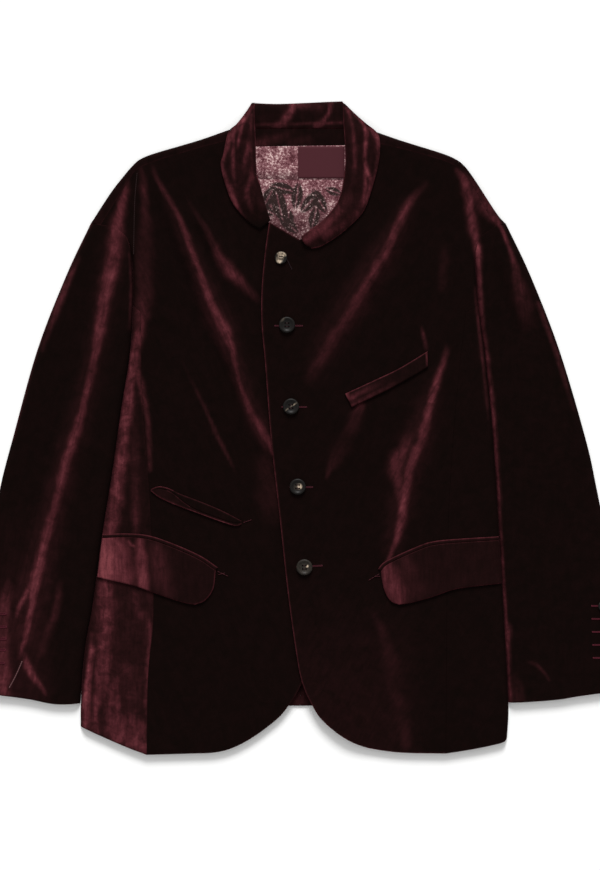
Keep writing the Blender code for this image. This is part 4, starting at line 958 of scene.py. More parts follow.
def print_and_painted_shade(x, y):
    """How dark the lining is, from 0 to 1: painted shade lower down, and printed leaves with a bare vein down
    the middle.
    """
    inked_and_shaded = grows_below(*LINING_SHADE)(x, y)
    for stem_x, stem_y, heading, length, width in LEAVES:
        along, across = heading_from(stem_x, stem_y, heading, x, y)
        along, across = along / length, np.abs(across)
        half = 0.5 * width * np.sin(math.pi * np.clip(along, 0, 1)) ** LEAF_FULL
        inside = ease((half - across) / LEAF_EDGE + 0.5) * (along > 0) * (along < 1)
        inked_and_shaded = np.maximum(inked_and_shaded, inside * ease((across - VEIN) / VEIN_EDGE))
    return inked_and_shaded


def make_lining():
    """Satin with a speckled rose print and painted shade, crumpled enough to glint."""
    material, tree, shader = new_material("printed_lining")
    place = own_place(tree)
    cloud = noise(tree, place, *CLOUD)
    spots = noise(tree, place, *SPOTS)
    mixed = calc(tree, "MULTIPLY_ADD", spots, SPOT_SHARE, cloud)
    rose = ramped(tree, between(tree, mixed, *ROSE_RANGE), LINING_STOPS)
    ink_and_shade = calc(tree, "MULTIPLY", own_value(tree, "painted_light_and_print"), between(tree, spots, *INK_AND_SHADE_RANGE))
    blend = add_node(tree, "Mix", {}, data_type="RGBA")
    set_inputs(tree, blend, {0: ink_and_shade, 6: rose, 7: LINING_DARK})
    set_inputs(tree, shader, {"Base Color": blend.outputs[2], "Normal": bumped(tree, cloud, *LINING_BUMP),
                              "Roughness": LINING_ROUGHNESS, "Specular IOR Level": LINING_SPECULAR})
    return material


def make_woven():
    """Plain close-woven maroon tape."""
    material, tree, shader = new_material("woven_patch")
    inputs = {"Vector": own_place(tree), "Scale": WEAVE, "Distortion": WEAVE_WANDER}
    weave = add_node(tree, "TexWave", inputs, bands_direction="Y").outputs["Fac"]
    colour = shaded(tree, PATCH_MAROON, calc(tree, "MULTIPLY_ADD", weave, *WEAVE_SHADE))
    set_inputs(tree, shader, {"Base Color": colour, "Normal": bumped(tree, weave, *PATCH_BUMP),
                              "Roughness": PATCH_ROUGHNESS, "Specular IOR Level": PATCH_SPECULAR})
    return material


def four_sided(corners, columns, rows):
    """Four straight sides between upper left, upper right, lower left and lower right corners."""
    top_left, top_right, low_left, low_right = corners
    return (straight(top_left, top_right, columns), straight(low_left, low_right, columns),
            straight(top_left, low_left, rows), straight(top_right, low_right, rows))


lining = make_lining()
woven = make_woven()
facing_top = BACK_NECK[-1][1] - FACING_DROP
upper = (facing_top, facing_top)
for node, foot, painted_light_and_print, material, slot, cut in (
        ("neck_facing", FACING_FOOT, painted_sheen_of(flat(FACING_BASE_SHEEN), FACING_CREASES), velvet, "velvet", FACING_CUT),
        ("lining_yoke", YOKE_FOOT, grows_below(*YOKE_SHADE), lining, "lining", YOKE_CUT),
        ("lining_back", LINING_FOOT, print_and_painted_shade, lining, "lining", LINING_CUT)):
    corners = [(x, y) for ends in (upper, foot) for x, y in zip((-LINING_REACH, LINING_REACH), ends)]
    columns, rows = round(2 * LINING_REACH / LINING_STEP), round((upper[0] - foot[0]) / LINING_STEP)
    nets = cloth(four_sided(corners, columns, rows), flat(LINING_LEVEL), LINING_WALL, (SEWN, SEWN),
                 (SEWN, SEWN))
    lay(node, nets, painted_light_and_print, material)
    upper = foot
low_x, low_y, high_x, high_y = PATCH_BOX
sides = four_sided([(x, y) for y in (high_y, low_y) for x in (low_x, high_x)], PATCH_COLUMNS, PATCH_ROWS)
nets = cloth(sides, flat(LINING_LEVEL + SEAM + PATCH_WALL), PATCH_WALL)
lay("neck_patch", nets, flat(0.0), woven)

# Collar.  One shawl-like band of velvet on a low stand, rolled over all round.  At the back only the stand's
# inner face shows, folded over the top; at the sides the fall lies on the fronts and ends in a blunt point.
COLLAR_WALL, STAND_WALL = 0.0024, 0.0016
REST_GAP = 0.0006  # gap under a piece that lies on a shaped panel
COLLAR_INSET = 0.0070  # how far the turned-under part stays inside the top fold
COLLAR_LIFT = 0.0026  # room for the stand under the fall
COLLAR_RAMP = 0.012
COLLAR_FLOOR = 0.0045  # the rolled edge ends just above the lining
COLLAR_DARK, COLLAR_FADING = 0.236, 0.04  # the right point is dark, over this stretch
COLLAR_FADE = 0.28  # share of its length over which the roll opens out at the collar's point
NECK_TOP, NECK_FADE = 0.388, 0.034  # the body's support fades out over the last stretch below this line
STAND_HEIGHT, STAND_PRESS, STAND_PRESS_REACH = 0.0056, 0.0012, 0.010
RIGHT_FALL_OUTER = mm((-58, 391), (-65, 380), (-76, 365), (-86, 355), (-92, 329), (-95, 313), (-85, 278),
                      (-74, 260), (-60, 245.5), (-48, 238))
RIGHT_ROLL = mm((-54.5, 391), (-54, 367), (-53, 338), (-52, 307), (-48, 293), (-42, 270), (-35.4, 249))
LEFT_ROLL = mm((50.5, 392), (52, 367), (54, 338), (54, 314), (47, 276), (30, 252), (13, 238), (1, 229))
LEFT_FALL_OUTER = mm((55, 389), (67, 377), (80, 365), (92, 355), (96, 344), (95, 322), (90, 299), (79, 265),
                     (68, 250), (48, 232), (26, 218), (14, 215))
LEFT_FALL_END = mm((1, 229), (5, 221), (14, 215))
COLLAR_FOLD = mm((-55, 391), (-29, 390), (2, 391), (34, 392.5), (51.1, 393.2))
COLLAR_SEAM = mm((-54.5, 360), (53, 360))
FALL_BACK_SIDES = (-0.0555, 0.0535)  # the turned-down part at the back reaches a little under the side falls
FALL_BACK_FOOT = 0.362
RIGHT_STAND_SEAM = mm((-76, 347), (-76, 316), (-69, 286), (-60, 266))
RIGHT_STAND_ROLL = mm((-61.5, 347), (-60.5, 316), (-56.5, 290), (-51.5, 270))
LEFT_STAND_SEAM = mm((77, 347), (77.5, 316), (71, 290), (64, 276))
LEFT_STAND_ROLL = mm((61.5, 347), (61.5, 316), (59, 294), (55, 277))
RIGHT_COLLAR_CREASES = [
    # the folded rim and the free edge
    crease(0.8, 0, (-60, 386, 4, 0.36), (-68, 371, 4.6, 0.56), (-78, 358, 4.6, 0.56), (-84, 346, 4, 0.48),
           (-90, 330, 3, 0.46), (-93.5, 314, 2.6, 0.5), (-90, 300, 3.6, 0.52), (-84, 284, 4.2, 0.58),
           (-77, 268, 3.6, 0.5), (-71, 258, 2.4, 0.24), (-64, 249, 2, 0)),
    # fine lines down the fall
    crease(0.6, 0, (-68, 374, 2, 0.2), (-70, 360, 2.2, 0.52), (-74, 342, 2.2, 0.46), (-75, 334, 1.8, 0.1)),
    crease(0.5, 0, (-79, 356, 1.8, 0.3), (-80, 330, 2.2, 0.46), (-80, 310, 2.2, 0.38), (-77, 290, 2, 0.1)),
    crease(0.5, 0, (-62, 346, 2.2, 0.06), (-62.5, 336, 2.6, 0.36), (-66, 318, 3.4, 0.34),
           (-67, 306, 2.6, 0.1)),
    crease(0.5, 0, (-57, 310, 2.6, 0.2), (-59, 296, 3.6, 0.34), (-64, 284, 3.2, 0.22), (-61, 270, 3, 0.26),
           (-58, 260, 2.6, 0.12)),
    crease(0.4, 0, (-58, 376, 2.2, 0.3), (-59, 352, 2.2, 0.22), (-58, 330, 2, 0.16), (-56, 300, 2, 0.2)),
]
LEFT_COLLAR_CREASES = [
    # fine lines down the fall
    crease(0.8, 0, (60, 384, 2.6, 0.2), (72, 370, 2.4, 0.4), (78, 360, 2.4, 0.62), (79, 342, 2.6, 0.6),
           (77.6, 322, 2.6, 0.52), (81, 306, 3, 0.62), (85, 296, 2.6, 0.5), (83, 282, 2.6, 0.4),
           (78, 270, 3, 0.34)),
    crease(0.6, 0, (78, 312, 2.4, 0.2), (78.2, 296, 2.8, 0.5), (77.6, 280, 3.2, 0.54), (72, 264, 4, 0.3),
           (60, 250, 5, 0.2), (46, 240, 5, 0.22), (30, 230, 5, 0.24)),
    crease(0.5, 0, (56, 384, 2.2, 0.36), (60, 374, 2.4, 0.34), (64, 352, 2.6, 0.26), (65, 336, 3, 0.32),
           (66, 318, 2.4, 0.28), (64, 300, 2.6, 0.1)),
    # the folded rim over the shoulder
    crease(0.5, 0, (85, 360, 3, 0.4), (91, 350, 3.6, 0.6), (94, 342, 3, 0.5), (93.6, 328, 2.2, 0.3),
           (91, 310, 2.2, 0.36), (88, 294, 2.4, 0.3)),
    # towards the point
    crease(0.6, 0, (56, 276, 6, 0.12), (43, 256, 7, 0.26), (30, 244, 7, 0.34), (16, 232, 7, 0.4),
           (7, 225, 6, 0.4)),
]
STAND_CREASES = [
    crease(0.3, 0, (-30, 361, 5, 0.2), (-20, 367, 5, 0.4), (-13, 378, 5, 0.48), (-8, 388, 5, 0.4)),
    crease(0.3, 0, (20, 362, 5, 0.34), (28, 368, 3.6, 0.5), (34.5, 378, 2.6, 0.52), (37.5, 391, 2.4, 0.46)),
    crease(0.2, 0, (-10, 388, 5, 0.3), (10, 388, 5, 0.28), (24, 384, 5, 0.2)),
    crease(0.2, 0, (-52, 364.5, 2, 0.16), (0, 365.5, 2, 0.24), (50, 366.5, 2, 0.3)),
]
# Base painted sheen of the collar and the share of its creases' painted sheen; then base painted sheen of the
# stand, the turned-down back and the side stands
COLLAR_BASE_SHEEN, COLLAR_CREASE_SHEEN = 0.11, 0.85
STAND_BASE_SHEEN, FALL_BACK_BASE_SHEEN, SIDE_STAND_BASE_SHEEN = 0.06, 0.2, 0.1
FOLD_RIM = 0.0015
RIGHT_FALL_RIMS = [(RIGHT_FALL_OUTER[3:7], RIM, 0.5), (RIGHT_ROLL[:5], RIM, 0.6)]
LEFT_FALL_RIMS = [(LEFT_FALL_OUTER[3:], RIM, 0.5), (LEFT_ROLL, RIM, 0.6)]
STAND_RIMS = [(COLLAR_FOLD, FOLD_RIM, 0.3), (COLLAR_SEAM, THIN_RIM, 0.3)]
# Rows along each stretch of the collar and columns across it
RIGHT_FALL_ROWS, LEFT_FALL_ROWS, FALL_COLUMNS = 60, 72, 18
STAND_BACK_ROWS, STAND_BACK_COLUMNS, FALL_BACK_COLUMNS = 44, 12, 8
STAND_ROWS, STAND_COLUMNS = 26, 6


def above_point(x, y):
    """0 at the collar's right point, 1 above it and on the whole left side."""
    return ease((y - COLLAR_DARK) / COLLAR_FADING + (x > 0))


def fall_height(outer_table, body, creases):
    """Outer face of the fall: on the body at its free edge and its point, lifted by the stand between."""
    def lifted(x, y):
        under = body(x, y) * ease((NECK_TOP - y) / NECK_FADE)
        ramp = ease(along_line(outer_table, x, y) / COLLAR_RAMP) * above_point(x, y)
        return under + REST_GAP + COLLAR_WALL + COLLAR_LIFT * ramp + brushed(creases, x, y)[0]
    return lifted


def resting(height, wall):
    """Outer face of a piece of the given wall that lies on a panel."""
    return lambda x, y: height(x, y) + REST_GAP + wall


def collar_sheen(x, y):
    """Painted sheen of the collar's pile, darker towards the right point."""
    return COLLAR_BASE_SHEEN * above_point(x, y)


def opening(rows):
    """How far each row of the fall rolls over, opening out towards the collar's point."""
    return ease(np.linspace(1, 0, rows + 1) / COLLAR_FADE)


def stand_back_height(x, y):
    """Outer face of the stand at the back, a little uneven, pressed down towards its seam."""
    pressed = STAND_PRESS * ease((COLLAR_SEAM[0][1] + STAND_PRESS_REACH - y) / STAND_PRESS_REACH)
    return STAND_HEIGHT - pressed + brushed(STAND_CREASES, x, y)[0]


outer_line, roll_line = side(RIGHT_FALL_OUTER, steps=RIGHT_FALL_ROWS), side(RIGHT_ROLL, steps=RIGHT_FALL_ROWS)
nets = cloth((*joined(outer_line, roll_line, FALL_COLUMNS), outer_line, roll_line),
             fall_height(RIGHT_FALL_OUTER, right_height, RIGHT_COLLAR_CREASES), COLLAR_WALL,
             (TURNED, opening(RIGHT_FALL_ROWS)), floor=COLLAR_FLOOR)
painted_light_and_print = painted_sheen_of(collar_sheen, RIGHT_COLLAR_CREASES, RIGHT_FALL_RIMS, COLLAR_CREASE_SHEEN)
lay("collar_fall_right", nets, painted_light_and_print, velvet)
outer_line, roll_line = side(LEFT_FALL_OUTER, steps=LEFT_FALL_ROWS), side(LEFT_ROLL, steps=LEFT_FALL_ROWS)
top, end = straight(roll_line[0], outer_line[0], FALL_COLUMNS), side(LEFT_FALL_END, steps=FALL_COLUMNS)
nets = cloth((top, end, roll_line, outer_line),
             fall_height(LEFT_FALL_OUTER, lap_height, LEFT_COLLAR_CREASES), COLLAR_WALL,
             (opening(LEFT_FALL_ROWS), TURNED), floor=COLLAR_FLOOR)
painted_light_and_print = painted_sheen_of(collar_sheen, LEFT_COLLAR_CREASES, LEFT_FALL_RIMS, COLLAR_CREASE_SHEEN)
lay("collar_fall_left", nets, painted_light_and_print, velvet)
fold_line, seam_line = side(COLLAR_FOLD, steps=STAND_BACK_ROWS), side(COLLAR_SEAM, steps=STAND_BACK_ROWS)
nets = cloth((*joined(fold_line, seam_line, STAND_BACK_COLUMNS), fold_line, seam_line), stand_back_height,
             STAND_WALL, (always, TURNED), (SEWN, SEWN))
painted_light_and_print = painted_sheen_of(flat(STAND_BASE_SHEEN), STAND_CREASES, STAND_RIMS)
lay("collar_stand_back", nets, painted_light_and_print, velvet)
under_fold = moved_in(fold_line, -COLLAR_INSET)
under_fold[:, 0] = np.linspace(*FALL_BACK_SIDES, len(under_fold))
foot_line = straight(*((x, FALL_BACK_FOOT) for x in FALL_BACK_SIDES), len(under_fold) - 1)
sides = (*joined(under_fold, foot_line, FALL_BACK_COLUMNS), under_fold, foot_line)
nets = cloth(sides, flat(UNDER_WALL), UNDER_WALL)
lay("collar_fall_back", nets, flat(FALL_BACK_BASE_SHEEN), velvet)
for hand, seam, roll_side, height in (("right", RIGHT_STAND_SEAM, RIGHT_STAND_ROLL, right_height),
                                      ("left", LEFT_STAND_SEAM, LEFT_STAND_ROLL, left_height)):
    first, second = side(seam, steps=STAND_ROWS), side(roll_side, steps=STAND_ROWS)
    sides = (*joined(first, second, STAND_COLUMNS), first, second)
    nets = cloth(sides, resting(height, STAND_WALL), STAND_WALL)
    painted_light_and_print = flat(SIDE_STAND_BASE_SHEEN)
    lay("collar_stand_" + hand, nets, painted_light_and_print, velvet)

# Pockets.  Of the same velvet.  A hip pocket on each side has a flap hanging under a narrow jet, sewn on; the
# left chest has a slanted welt; above the right hip a ticket pocket gapes between two lips.
FLAP_WALL, LIP_WALL, JET_DEPTH = 0.0024, 0.0016, 0.0045
RIGHT_FLAP_TOP = mm((-237.5, -132.2), (-211, -131), (-184, -133), (-156, -142), (-122, -157), (-101, -171))
RIGHT_FLAP_FOOT = mm((-243.5, -179), (-226, -183), (-197, -190), (-169, -200), (-142, -209), (-126, -212))
RIGHT_FLAP_END = mm((-101, -171), (-104, -193), (-114, -207), (-126, -212))
LEFT_FLAP_TOP = mm((97, -172), (106, -163), (143, -146), (163, -140), (197, -137), (239, -134.5))
LEFT_FLAP_FOOT = mm((119, -212), (132, -210), (158, -203), (184, -194), (210, -190), (242, -186.5))
LEFT_FLAP_END = mm((97, -172), (98.5, -184), (102, -197), (109, -208), (119, -212))
WELT_TOP = mm((54, 41), (91, 58), (120, 72), (153, 92))
WELT_FOOT = mm((62, 25), (100, 43), (130, 59), (153.5, 73))
TICKET_TOP = mm((-179, -73.5), (-170, -70), (-160, -71.5), (-152, -74.8), (-144, -79), (-128, -85),
                (-112, -91.2), (-96, -98), (-80, -106), (-70, -111.5))
TICKET_SLIT = mm((-179, -74.5), (-169, -72.8), (-159, -74.5), (-151, -79), (-143, -86), (-133, -93.5),
                 (-118, -101), (-100, -107.5), (-82, -113.5), (-70, -113.5))
TICKET_FOOT = mm((-179, -75.5), (-170, -82.8), (-155, -90), (-140, -96), (-126, -101), (-112, -106.2),
                 (-96, -112), (-80, -117), (-74, -117.2), (-70, -115))
RIGHT_FLAP_CREASES = [
    crease(0.4, 0, (-240, -136, 20, 0.78), (-236, -160, 24, 0.84), (-238, -184, 22, 0.84)),
    crease(0.4, 0, (-214, -138, 10, 0.4), (-211, -160, 12, 0.44), (-208, -188, 12, 0.46)),
    crease(0.6, 0, (-192, -136, 6, 0.5), (-190, -160, 7, 0.62), (-188, -194, 8, 0.62)),
    crease(0.3, 0, (-172, -144, 10, 0.22), (-166, -180, 12, 0.22), (-160, -198, 10, 0.12)),
    crease(1, 0, (-222, -134, 2, 0.3), (-216, -140, 2, 0.5), (-212, -141, 2, 0.2)),
    crease(1, 0, (-206, -135, 2, 0.3), (-201, -141, 2, 0.5), (-196, -140, 2, 0.2)),
]
LEFT_FLAP_CREASES = [
    crease(0.4, 0, (102, -168, 14, 0.42), (108, -184, 16, 0.44), (114, -206, 14, 0.44)),
    crease(0.3, 0, (126, -160, 10, 0.14), (134, -190, 14, 0.14)),
]
WELT_CREASES = [
    crease(0.2, 0, (55, 40, 4, 0.56), (60, 36, 4, 0.5), (70, 41, 4, 0.3), (84, 48, 4, 0.2),
           (100, 55, 3, 0.05)),
    crease(0.2, 0, (62, 27, 3, 0.4), (72, 32, 3, 0.36), (86, 39, 3, 0.26), (108, 50, 3, 0.12),
           (122, 58, 3, 0)),
    crease(0.1, 0, (152, 89, 1.4, 0.5), (152.5, 76, 1.4, 0.36)),
]
# Base painted sheen of each pocket piece, and how blotched the flaps' velvet is
RIGHT_FLAP_BASE_SHEEN, LEFT_FLAP_BASE_SHEEN, JET_BASE_SHEEN, FLAP_CRUSH = 0.07, 0.08, 0.08, 0.5
WELT_BASE_SHEEN, UPPER_LIP_BASE_SHEEN, LOWER_LIP_BASE_SHEEN = 0.05, 0.02, 0.06
FOOT_SHEEN, END_SHEEN, TOP_SHEEN, JET_SHEEN = 0.40, 0.55, 0.30, 0.52
TOP_RIM, JET_RIM, SLIT_RIM = 0.0008, 0.0014, 0.0009
WELT_RIMS = [(WELT_TOP, THIN_RIM, 0.6)]
UPPER_LIP_RIMS = [(TICKET_TOP[:4], THIN_RIM, 0.5), (TICKET_TOP[3:], THIN_RIM, 0.3)]
LOWER_LIP_RIMS = [(TICKET_FOOT, RIM, 0.60), (TICKET_SLIT[2:6], SLIT_RIM, 0.4)]
FLAP_COLUMNS, FLAP_ROWS, JET_ROWS, LIP_COLUMNS, LIP_ROWS = 64, 24, 5, 48, 8
WELT_CUT, LIP_CUT = ((0.112, 0.020), 0.0020), ((0.116, 0.012), 0.0008)


def rounded_at(side_table, height):
    """A body height that also rounds down at the folded side."""
    def rounded(x, y):
        near = np.clip(along_line(side_table, x, y) / ROLL, 0, 1)
        return height(x, y) * np.sqrt(1 - (1 - near) ** 2)
    return rounded


velvet_flap = make_velvet("velvet_flap", 0.0, FLAP_CRUSH)
right_ends = (straight(RIGHT_FLAP_TOP[0], RIGHT_FLAP_FOOT[0], FLAP_ROWS),
              side(RIGHT_FLAP_END, steps=FLAP_ROWS))
left_ends = (side(LEFT_FLAP_END, steps=FLAP_ROWS),
             straight(LEFT_FLAP_TOP[-1], LEFT_FLAP_FOOT[-1], FLAP_ROWS))
right_body = rounded_at(RIGHT_SIDE, right_side_height)
left_body = rounded_at(LEFT_SIDE, left_height)
for hand, top, foot, end, ends, body, base, creases in (
        ("right", RIGHT_FLAP_TOP, RIGHT_FLAP_FOOT, RIGHT_FLAP_END, right_ends, right_body, RIGHT_FLAP_BASE_SHEEN,
         RIGHT_FLAP_CREASES),
        ("left", LEFT_FLAP_TOP, LEFT_FLAP_FOOT, LEFT_FLAP_END, left_ends, left_body, LEFT_FLAP_BASE_SHEEN,
         LEFT_FLAP_CREASES)):
    seam_line = side(top, steps=FLAP_COLUMNS)
    nets = cloth((seam_line, side(foot, steps=FLAP_COLUMNS), *ends), resting(body, FLAP_WALL), FLAP_WALL,
                 ends=(SEWN, TURNED))
    rims = [(foot, THIN_RIM, FOOT_SHEEN), (end, RIM, END_SHEEN), (top, TOP_RIM, TOP_SHEEN)]
    flap = sew("flap_" + hand, nets, painted_sheen_of(flat(base), creases, rims), velvet_flap)
    upper_line = moved_in(seam_line, JET_DEPTH)
    sides = (upper_line, seam_line, *joined(upper_line, seam_line, JET_ROWS))
    nets = cloth(sides, resting(body, LIP_WALL), LIP_WALL)
    rims = [(upper_line, JET_RIM, JET_SHEEN)]
    jet = sew("jet_" + hand, nets, painted_sheen_of(flat(JET_BASE_SHEEN), rims=rims), velvet_flap)
for node, top, foot, wall, height, base, creases, rims, cut, front in (
        ("chest_welt", WELT_TOP, WELT_FOOT, FLAP_WALL, left_height,
         WELT_BASE_SHEEN, WELT_CREASES, WELT_RIMS, WELT_CUT, "cloth_front_left"),
        ("ticket_lip_upper", TICKET_TOP, TICKET_SLIT, LIP_WALL, right_height,
         UPPER_LIP_BASE_SHEEN, [], UPPER_LIP_RIMS, LIP_CUT, "cloth_front_right"),
        ("ticket_lip_lower", TICKET_SLIT, TICKET_FOOT, LIP_WALL, right_height,
         LOWER_LIP_BASE_SHEEN, [], LOWER_LIP_RIMS, LIP_CUT, "cloth_front_right")):
    first, second = side(top, steps=LIP_COLUMNS), side(foot, steps=LIP_COLUMNS)
    nets = cloth((first, second, *joined(first, second, LIP_ROWS)), resting(height, wall), wall)
    lay(node, nets, painted_sheen_of(flat(base), creases, rims), velvet)

# Buttonholes.  Worked by hand in crimson silk: close stitches along both lips of a slit and a bar at the far
# end.  Five run down the left front, mostly under their buttons, and five cross each cuff.
STITCH = 0.0004  # half thickness of a stitch
STITCH_RISE = 0.6  # how much of that its middle lies above the cloth
STITCH_START = 0.25  # share of the lip at which a stitch starts
STITCH_STEP = 0.00062
LIP_REACH, CLOSED_LIP, CUFF_LIP = 0.0008, 0.0003, 0.0014  # how far a stitch reaches from the slit
CUFF_CRIMSON, CRIMSON = (0.060, 0.0075, 0.0140), (0.042, 0.0070, 0.0115)
SHADED_CRIMSON = (0.014, 0.0055, 0.0070)
SILK_TWIST, SILK_SHADE = (1200.0, 2.0), (0.9, 0.55)  # scale and detail of its noise, and what that does
SILK_ROUGHNESS, SILK_SPECULAR = 0.5, 0.1
FRONT_HOLES = [mm((-17, 205), (-10, 190.5)), mm((-30, 122.4), (2.6, 122.4)), mm((-21.5, 25), (7.5, 25)),
               mm((-12, -71), (15, -71)), mm((-4, -166.8), (26.5, -165))]
RIGHT_CUFF_HOLES = mm((-352.8, -223.2), (-352.4, -238.8), (-352.8, -253.2), (-353.5, -266.4), (-354.5, -282))
LEFT_CUFF_HOLES = mm((350, -213.6), (350.5, -229.2), (351, -244.8), (351.5, -260.4), (352, -276))
CUFF_HOLE = 0.018


def make_silk(name, colour):
    """Lustrous twisted silk thread."""
    material, tree, shader = new_material(name)
    shade = calc(tree, "MULTIPLY_ADD", noise(tree, own_place(tree), *SILK_TWIST), *SILK_SHADE)
    set_inputs(tree, shader, {"Base Color": shaded(tree, colour, shade), "Roughness": SILK_ROUGHNESS,
                              "Specular IOR Level": SILK_SPECULAR})
    return material


def add_stitch(bm, start, end, half):
    """One short thread lying from start to end, as a slim bead."""
    start, end = Vector(start), Vector(end)
    bead = bmesh.ops.create_icosphere(bm, subdivisions=1, radius=1.0)
    turn = (end - start).to_track_quat("X", "Z").to_matrix().to_4x4()
    size = Matrix.Diagonal((0.5 * (end - start).length + half, half, half, 1.0))
    bmesh.ops.transform(bm, verts=bead["verts"], matrix=Matrix.Translation((start + end) / 2) @ turn @ size)


def work_hole(bm, start, end, height, lip):
    """Stitches of one buttonhole along the line from start to end, on the cloth's height."""
    start, end = np.array(start), np.array(end)
    length = np.linalg.norm(end - start)
    along = (end - start) / length
    across = np.array((-along[1], along[0]))

    def seat(spot):
        return (*spot, float(height(np.array(spot[0]), np.array(spot[1]))) + STITCH_RISE * STITCH)
    for reach in np.arange(0, length, STITCH_STEP):
        for way in (-1, 1):
            spot = start + along * reach
            inner = spot + STITCH_START * way * lip * across
            add_stitch(bm, seat(inner), seat(spot + way * lip * across), STITCH)
    for reach in (0, length):
        for shift in (-STITCH, 0, STITCH):
            bar = start + along * (reach + shift)
            add_stitch(bm, seat(bar - lip * across), seat(bar + lip * across), STITCH)


def finish_thread(name, bm, material):
    """Turn stitches into one piece that lies on the garment."""
    mesh = new_mesh(name, bm, material)
    mesh.shade_smooth()
    piece = new_object(name, mesh)
    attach(piece, "root")


crimson, shaded_crimson = make_silk("crimson_silk", CRIMSON), make_silk("shaded_crimson_silk", SHADED_CRIMSON)
cuff_crimson = make_silk("cuff_crimson_silk", CUFF_CRIMSON)
for number, (start, end) in enumerate(FRONT_HOLES, 1):
    bm = bmesh.new()
    work_hole(bm, start, end, lap_height, CLOSED_LIP if number == 1 else LIP_REACH)
    finish_thread(f"buttonhole_{number}", bm, shaded_crimson if number == 1 else crimson)
for hand, holes, reach, height, lip in (
        ("right", RIGHT_CUFF_HOLES, -CUFF_HOLE, right_sleeve_height, CUFF_LIP),
        ("left", LEFT_CUFF_HOLES, CUFF_HOLE, left_sleeve_height, LIP_REACH)):
    bm = bmesh.new()
    for x, y in holes:
        work_hole(bm, (x, y), (x + reach, y), height, lip)
    finish_thread("cuff_holes_" + hand, bm, cuff_crimson)

# Tacks.  Short bars of thread close the ends of the pockets, where the flap, the welt or the lips begin.  The
# turned edge of the right cuff's vent and the pressed line above the right armhole show as thin cords,
# lighter
# than the velvet: painted highlights along them.
TACKS = [(mm((-99, -172), (-86, -178)), right_height), (mm((-98, -176), (-90, -174)), right_height),
         (mm((95, -175), (82, -183)), left_height), (mm((96, -178), (90, -178)), left_height),
         (mm((-68, -113.5), (-58, -110)), right_height)]
TACK_POINTS, TACK_RISE = 5, 0.0007
MAROON = (0.050, 0.010, 0.014)
VENT = mm((-333.5, -280), (-338, -290.5), (-343, -301), (-349, -312))
VENT_HALF, VENT_HIGHLIGHT = 0.0008, (0.105, 0.048, 0.050)  # half thickness, and colour of a painted highlight along the vent's turned edge
PRESSED_LINE = mm((-195.5, 306), (-198.2, 274), (-199.2, 238), (-199.6, 208))
# the pressed line's colour is painted sheen, a little lighter than the velvet
PRESSED_HALF, PRESSED_SHEEN = 0.0006, (0.015, 0.006, 0.006)


def lay_cord(bm, line, height, half, rise=0.0):
    """A cord of short threads along a line, on the cloth's height or above it."""
    points = [(x, y, float(height(x, y)) + rise) for x, y in line]
    for start, end in zip(points, points[1:]):
        add_stitch(bm, start, end, half)


bm = bmesh.new()
for ends, height in TACKS:
    lay_cord(bm, np.linspace(*ends, TACK_POINTS), height, STITCH, TACK_RISE)
finish_thread("pocket_tacks", bm, make_silk("maroon_silk", MAROON))
bm = bmesh.new()
lay_cord(bm, side(VENT), right_sleeve_height, VENT_HALF)
finish_thread("cuff_vent_right", bm, make_silk("vent_edge_highlight", VENT_HIGHLIGHT))
bm = bmesh.new()
lay_cord(bm, side(PRESSED_LINE), right_height, PRESSED_HALF)
finish_thread("pressed_line_right", bm, make_silk("pressed_line_sheen", PRESSED_SHEEN))

# Buttons.  Turned from horn with a raised rim, a dished middle and four holes, sewn on with dark thread.
# Some are charcoal, some have a pale streak or heart, and the small top one is mostly pale: horn varies, and
# the pale parts are partly painted highlights.
FRONT_BUTTONS = mm((-22.8, 204, 7.5), (-15.6, 123.6, 9.7), (-10.8, 25.8, 9.7), (-2.8, -70.3, 9.7),
                   (5.3, -166.8, 9.7))  # x, y, radius
CUFF_BUTTONS = 5
CUFF_BUTTON_RADIUS = 0.0068
LEFT_CUFF_LINE = mm((364.5, -213.6), (373.5, -276))
RIGHT_CUFF_LINE = mm((-368, -221), (-377.5, -283))
# Section from the middle of the upper face round to the middle of the back, in shares of the radius: out, up
BUTTON_PROFILE = [(0, 0.2), (0.08, 0.2), (0.16, 0.2), (0.3, 0.2), (0.44, 0.2), (0.49, 0.21), (0.58, 0.23),
                  (0.68, 0.31), (0.76, 0.37), (0.86, 0.375), (0.95, 0.33), (1, 0.22), (0.95, 0.1), (0.8, 0),
                  (0, 0)]
BUTTON_SIDES, HOLE_SIDES = 48, 14
HOLE_AT, HOLE_RADIUS = 0.21, 0.105  # shares of the button's radius
SEAT_RINGS, SEAT_STEPS = (0.0, 0.4, 0.8), 24  # the cloth's height is tried on these rings, at so many points
WELD = 0.00001
SLIVER = 0.000004  # what the drill leaves that is smaller than this is cleaned away
SHARP = math.radians(40)
# the pale colour serves pale horn and painted highlights alike
HORN_DARK, HORN_PALE_AND_HIGHLIGHT = (0.0060, 0.0050, 0.0043, 1.0), (0.66, 0.52, 0.38, 1.0)
GROWTH_TURN, GROWTH_STRETCH, GROWTH = (0, 0, 0.6), (900.0, 260.0, 400.0), (1.0, 4.0, 0.6)
GROWTH_RANGE = (0.3, 0.62)
HORN_ROUGHNESS, HORN_SPECULAR = 0.45, 0.14
